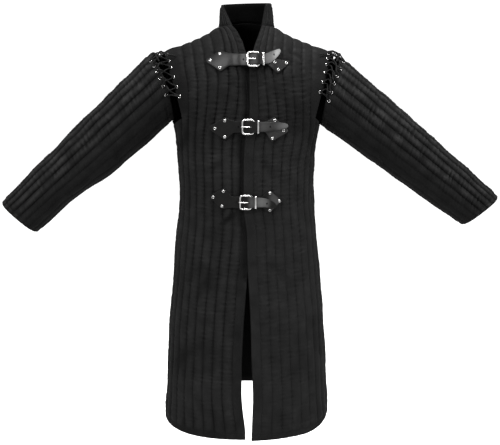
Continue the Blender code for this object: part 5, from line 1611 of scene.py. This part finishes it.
def make_buckle(number, closure, metal):
    frame_here = buckle_frame(closure)
    frame_loop = rounded_rectangle(BUCKLE_HALF_U, BUCKLE_HALF_V, BUCKLE_CORNER, 9)
    wire = [(BUCKLE_THICKNESS * math.cos(a), BUCKLE_LEVEL + BUCKLE_THICKNESS * math.sin(a))
            for a in np.linspace(0, 2 * math.pi, 16, endpoint=False)]
    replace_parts(swept_loop(f"buckle_ring_{number}", frame_loop, wire, frame_here, metal), f"buckle_{number}")

    low, high = 0.0004, NECK_REST + 2 * LEATHER + 0.0024 + KEEPER_SHEET
    loop = rounded_rectangle(STRAP_HALF + 0.0014, (high - low) / 2 - KEEPER_SHEET / 2, KEEPER_CORNER, 6)
    band = rounded_rectangle(KEEPER_SHEET / 2, KEEPER_BAND / 2, KEEPER_EDGE, 4)
    upright = Matrix(((0, 0, 1, 0), (1, 0, 0, 0), (0, 1, 0, 0), (0, 0, 0, 1)))
    keeper_frame = frame_here @ Matrix.Translation((KEEPER_U, 0, (high + low) / 2)) @ upright
    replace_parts(swept_loop(f"keeper_loop_{number}", loop, band, keeper_frame, metal), f"keeper_{number}")

    over_bar = BUCKLE_LEVEL + BUCKLE_WIRE + PRONG_ROOM + PRONG_RADIUS
    knots = ((0.0112, BUCKLE_LEVEL - 0.0002), (0.006, BUCKLE_LEVEL + 0.0012), (-0.002, over_bar - 0.0006),
             (-0.010, over_bar), (-BUCKLE_HALF_U, over_bar), (-BUCKLE_HALF_U - 0.0032, over_bar - 0.0004))
    route = smooth_route([frame_here @ Vector((u, 0, level)) for u, level in knots], PRONG_STEP)
    radii = PRONG_RADIUS * (1.12 - 0.3 * np.linspace(0, 1, len(route)) ** 2)
    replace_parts(tube(f"tongue_{number}", route, radii, metal), f"prong_{number}")


def rivet_places(closure):
    """(u, v) of the three rivets on each base, the wearer's right base first."""
    places = []
    for key, side in (("left", -1), ("right", 1)):
        kite = closure[key]
        slope = (kite["point_v"] - kite["v"]) / (kite["point_u"] - kite["u"])
        for out, up in ((0.0, kite["half"]), (RIVET_FROM_CORNER, 0.0), (0.0, -kite["half"])):
            lean = kite["lean"] * np.sign(up)
            places.append((kite["u"] + side * (out + 0.001) + lean, kite["v"] + slope * side * out + up))
    return places


def make_rivets(number, closure, strap, base, finishes):
    """Rounded tubular heads, each with a dark disc of painted shade down its bore."""
    trees, bores = [surface_of(strap), surface_of(base)], []
    head, bore = (
        [(RIVET_RADIUS * r, RIVET_HEIGHT * h) for r, h in profile] for profile in (RIVET_PROFILE, RIVET_BORE)
    )
    for k, (u, v) in enumerate(rivet_places(closure)):
        place = Vector(over_cloth(closure, u, v, 0))
        outward = Vector(over_cloth(closure, u, v, 1)) - place
        seated, normal = seat(trees[k // 3], place, outward, RIVET_RADIUS)
        made = joined(f"rivet_head_{number}_{k + 1}", [turned(seated, normal, head, 32)], finishes["rivet"])
        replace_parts(made, f"rivet_{number}_{k + 1}")
        bores.append(turned(seated, normal, bore, 16))
    joined(f"rivet_bores_{number}", bores, finishes["hole"])


def make_closures(finishes):
    for number, (closure, highlight_table, holes) in enumerate(zip(CLOSURES, STRAP_HIGHLIGHTS, STRAP_HOLES), 1):
        strap, base = (
            leather_strip(f"leather_{part}{number}", closure, stations, sharp, highlight_tone, finishes["leather"])
            for part, stations, sharp, highlight_tone in (
                ("", strap_stations(closure), ("low", "high"), highlight_table[0]),
                ("base_", base_stations(closure), ("high",), highlight_table[1]),
            )
        )
        punch(strap, closure, [PRONG_HOLE] + [(u, v, HOLE_RADIUS, HOLE_RADIUS) for u, v in holes])
        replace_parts(strap, f"strap_{number}")
        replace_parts(base, f"strap_base_{number}")
        make_buckle(number, closure, finishes["nickel"])
        make_rivets(number, closure, strap, base, finishes)


# ---- floor, lights and camera ----


def make_stage():
    mesh, half = bpy.data.meshes.new("floor"), FLOOR_HALF
    corners = ((-half, -half), (half, -half), (half, half), (-half, half))
    mesh.from_pydata([(x, y, FLOOR_LEVEL) for x, y in corners], [], [(0, 1, 2, 3)])
    mesh.materials.append(speckled("pale_floor", 3.0, (0.3, 0.86), (0.7, 0.88), Roughness=0.9))
    put_in_scene("floor", mesh)


def make_lights():
    world = bpy.data.worlds.new("studio")
    world.use_nodes = True
    background = world.node_tree.nodes["Background"]
    background.inputs["Color"].default_value = (1.0, 1.0, 1.0, 1.0)
    background.inputs["Strength"].default_value = WORLD_STRENGTH
    bpy.context.scene.world = world
    for name, place, target, size, power in LIGHTS:
        light = bpy.data.lights.new(name, "AREA")
        light.shape = "RECTANGLE"
        light.size, light.size_y = size
        light.energy = power
        obj = put_in_scene(name, light)
        obj.location = place
        obj.rotation_euler = (Vector(target) - obj.location).to_track_quat("-Z", "Y").to_euler()


def make_camera():
    camera = bpy.data.cameras.new("camera")
    camera.lens, camera.sensor_width = LENS, 36.0
    obj = put_in_scene("camera", camera)
    obj.location = CAMERA_PLACE
    obj.rotation_euler = (math.radians(90 - CAMERA_DOWN), 0, 0)
    bpy.context.scene.camera = obj


def main():
    make_camera()
    finishes = {
        "quilted": quilted_cotton(),
        "leather": strap_leather(),
        "nickel": nickel("nickel_plate", 0.26, 0.44),
        "rivet": nickel("rivet_plate", 0.15, 0.28),
        "lace": braided_cotton(),
        "thread": speckled("black_thread", 1500.0, (0.3, 0.0035), (0.7, 0.0075), Roughness=0.55,
                           Specular_IOR_Level=0.08),
        # painted shade for the eyelets' holes and the rivets' bores
        "hole": speckled("painted_hole_shade", 600.0, (0.2, 0.002), (0.8, 0.004), Roughness=0.95),
    }
    pieces = {name: make_panel(name, finishes["quilted"]) for name in PANELS}
    pieces["collar"] = make_collar(finishes["quilted"])
    for name in SLEEVES:
        pieces["sleeve_" + name] = make_sleeve(name, finishes["quilted"])
    make_stitching(pieces, finishes["thread"])
    make_lacing(pieces, finishes)
    make_closures(finishes)
    make_stage()
    make_lights()
    bpy.context.scene.view_settings.view_transform = "Standard"


main()
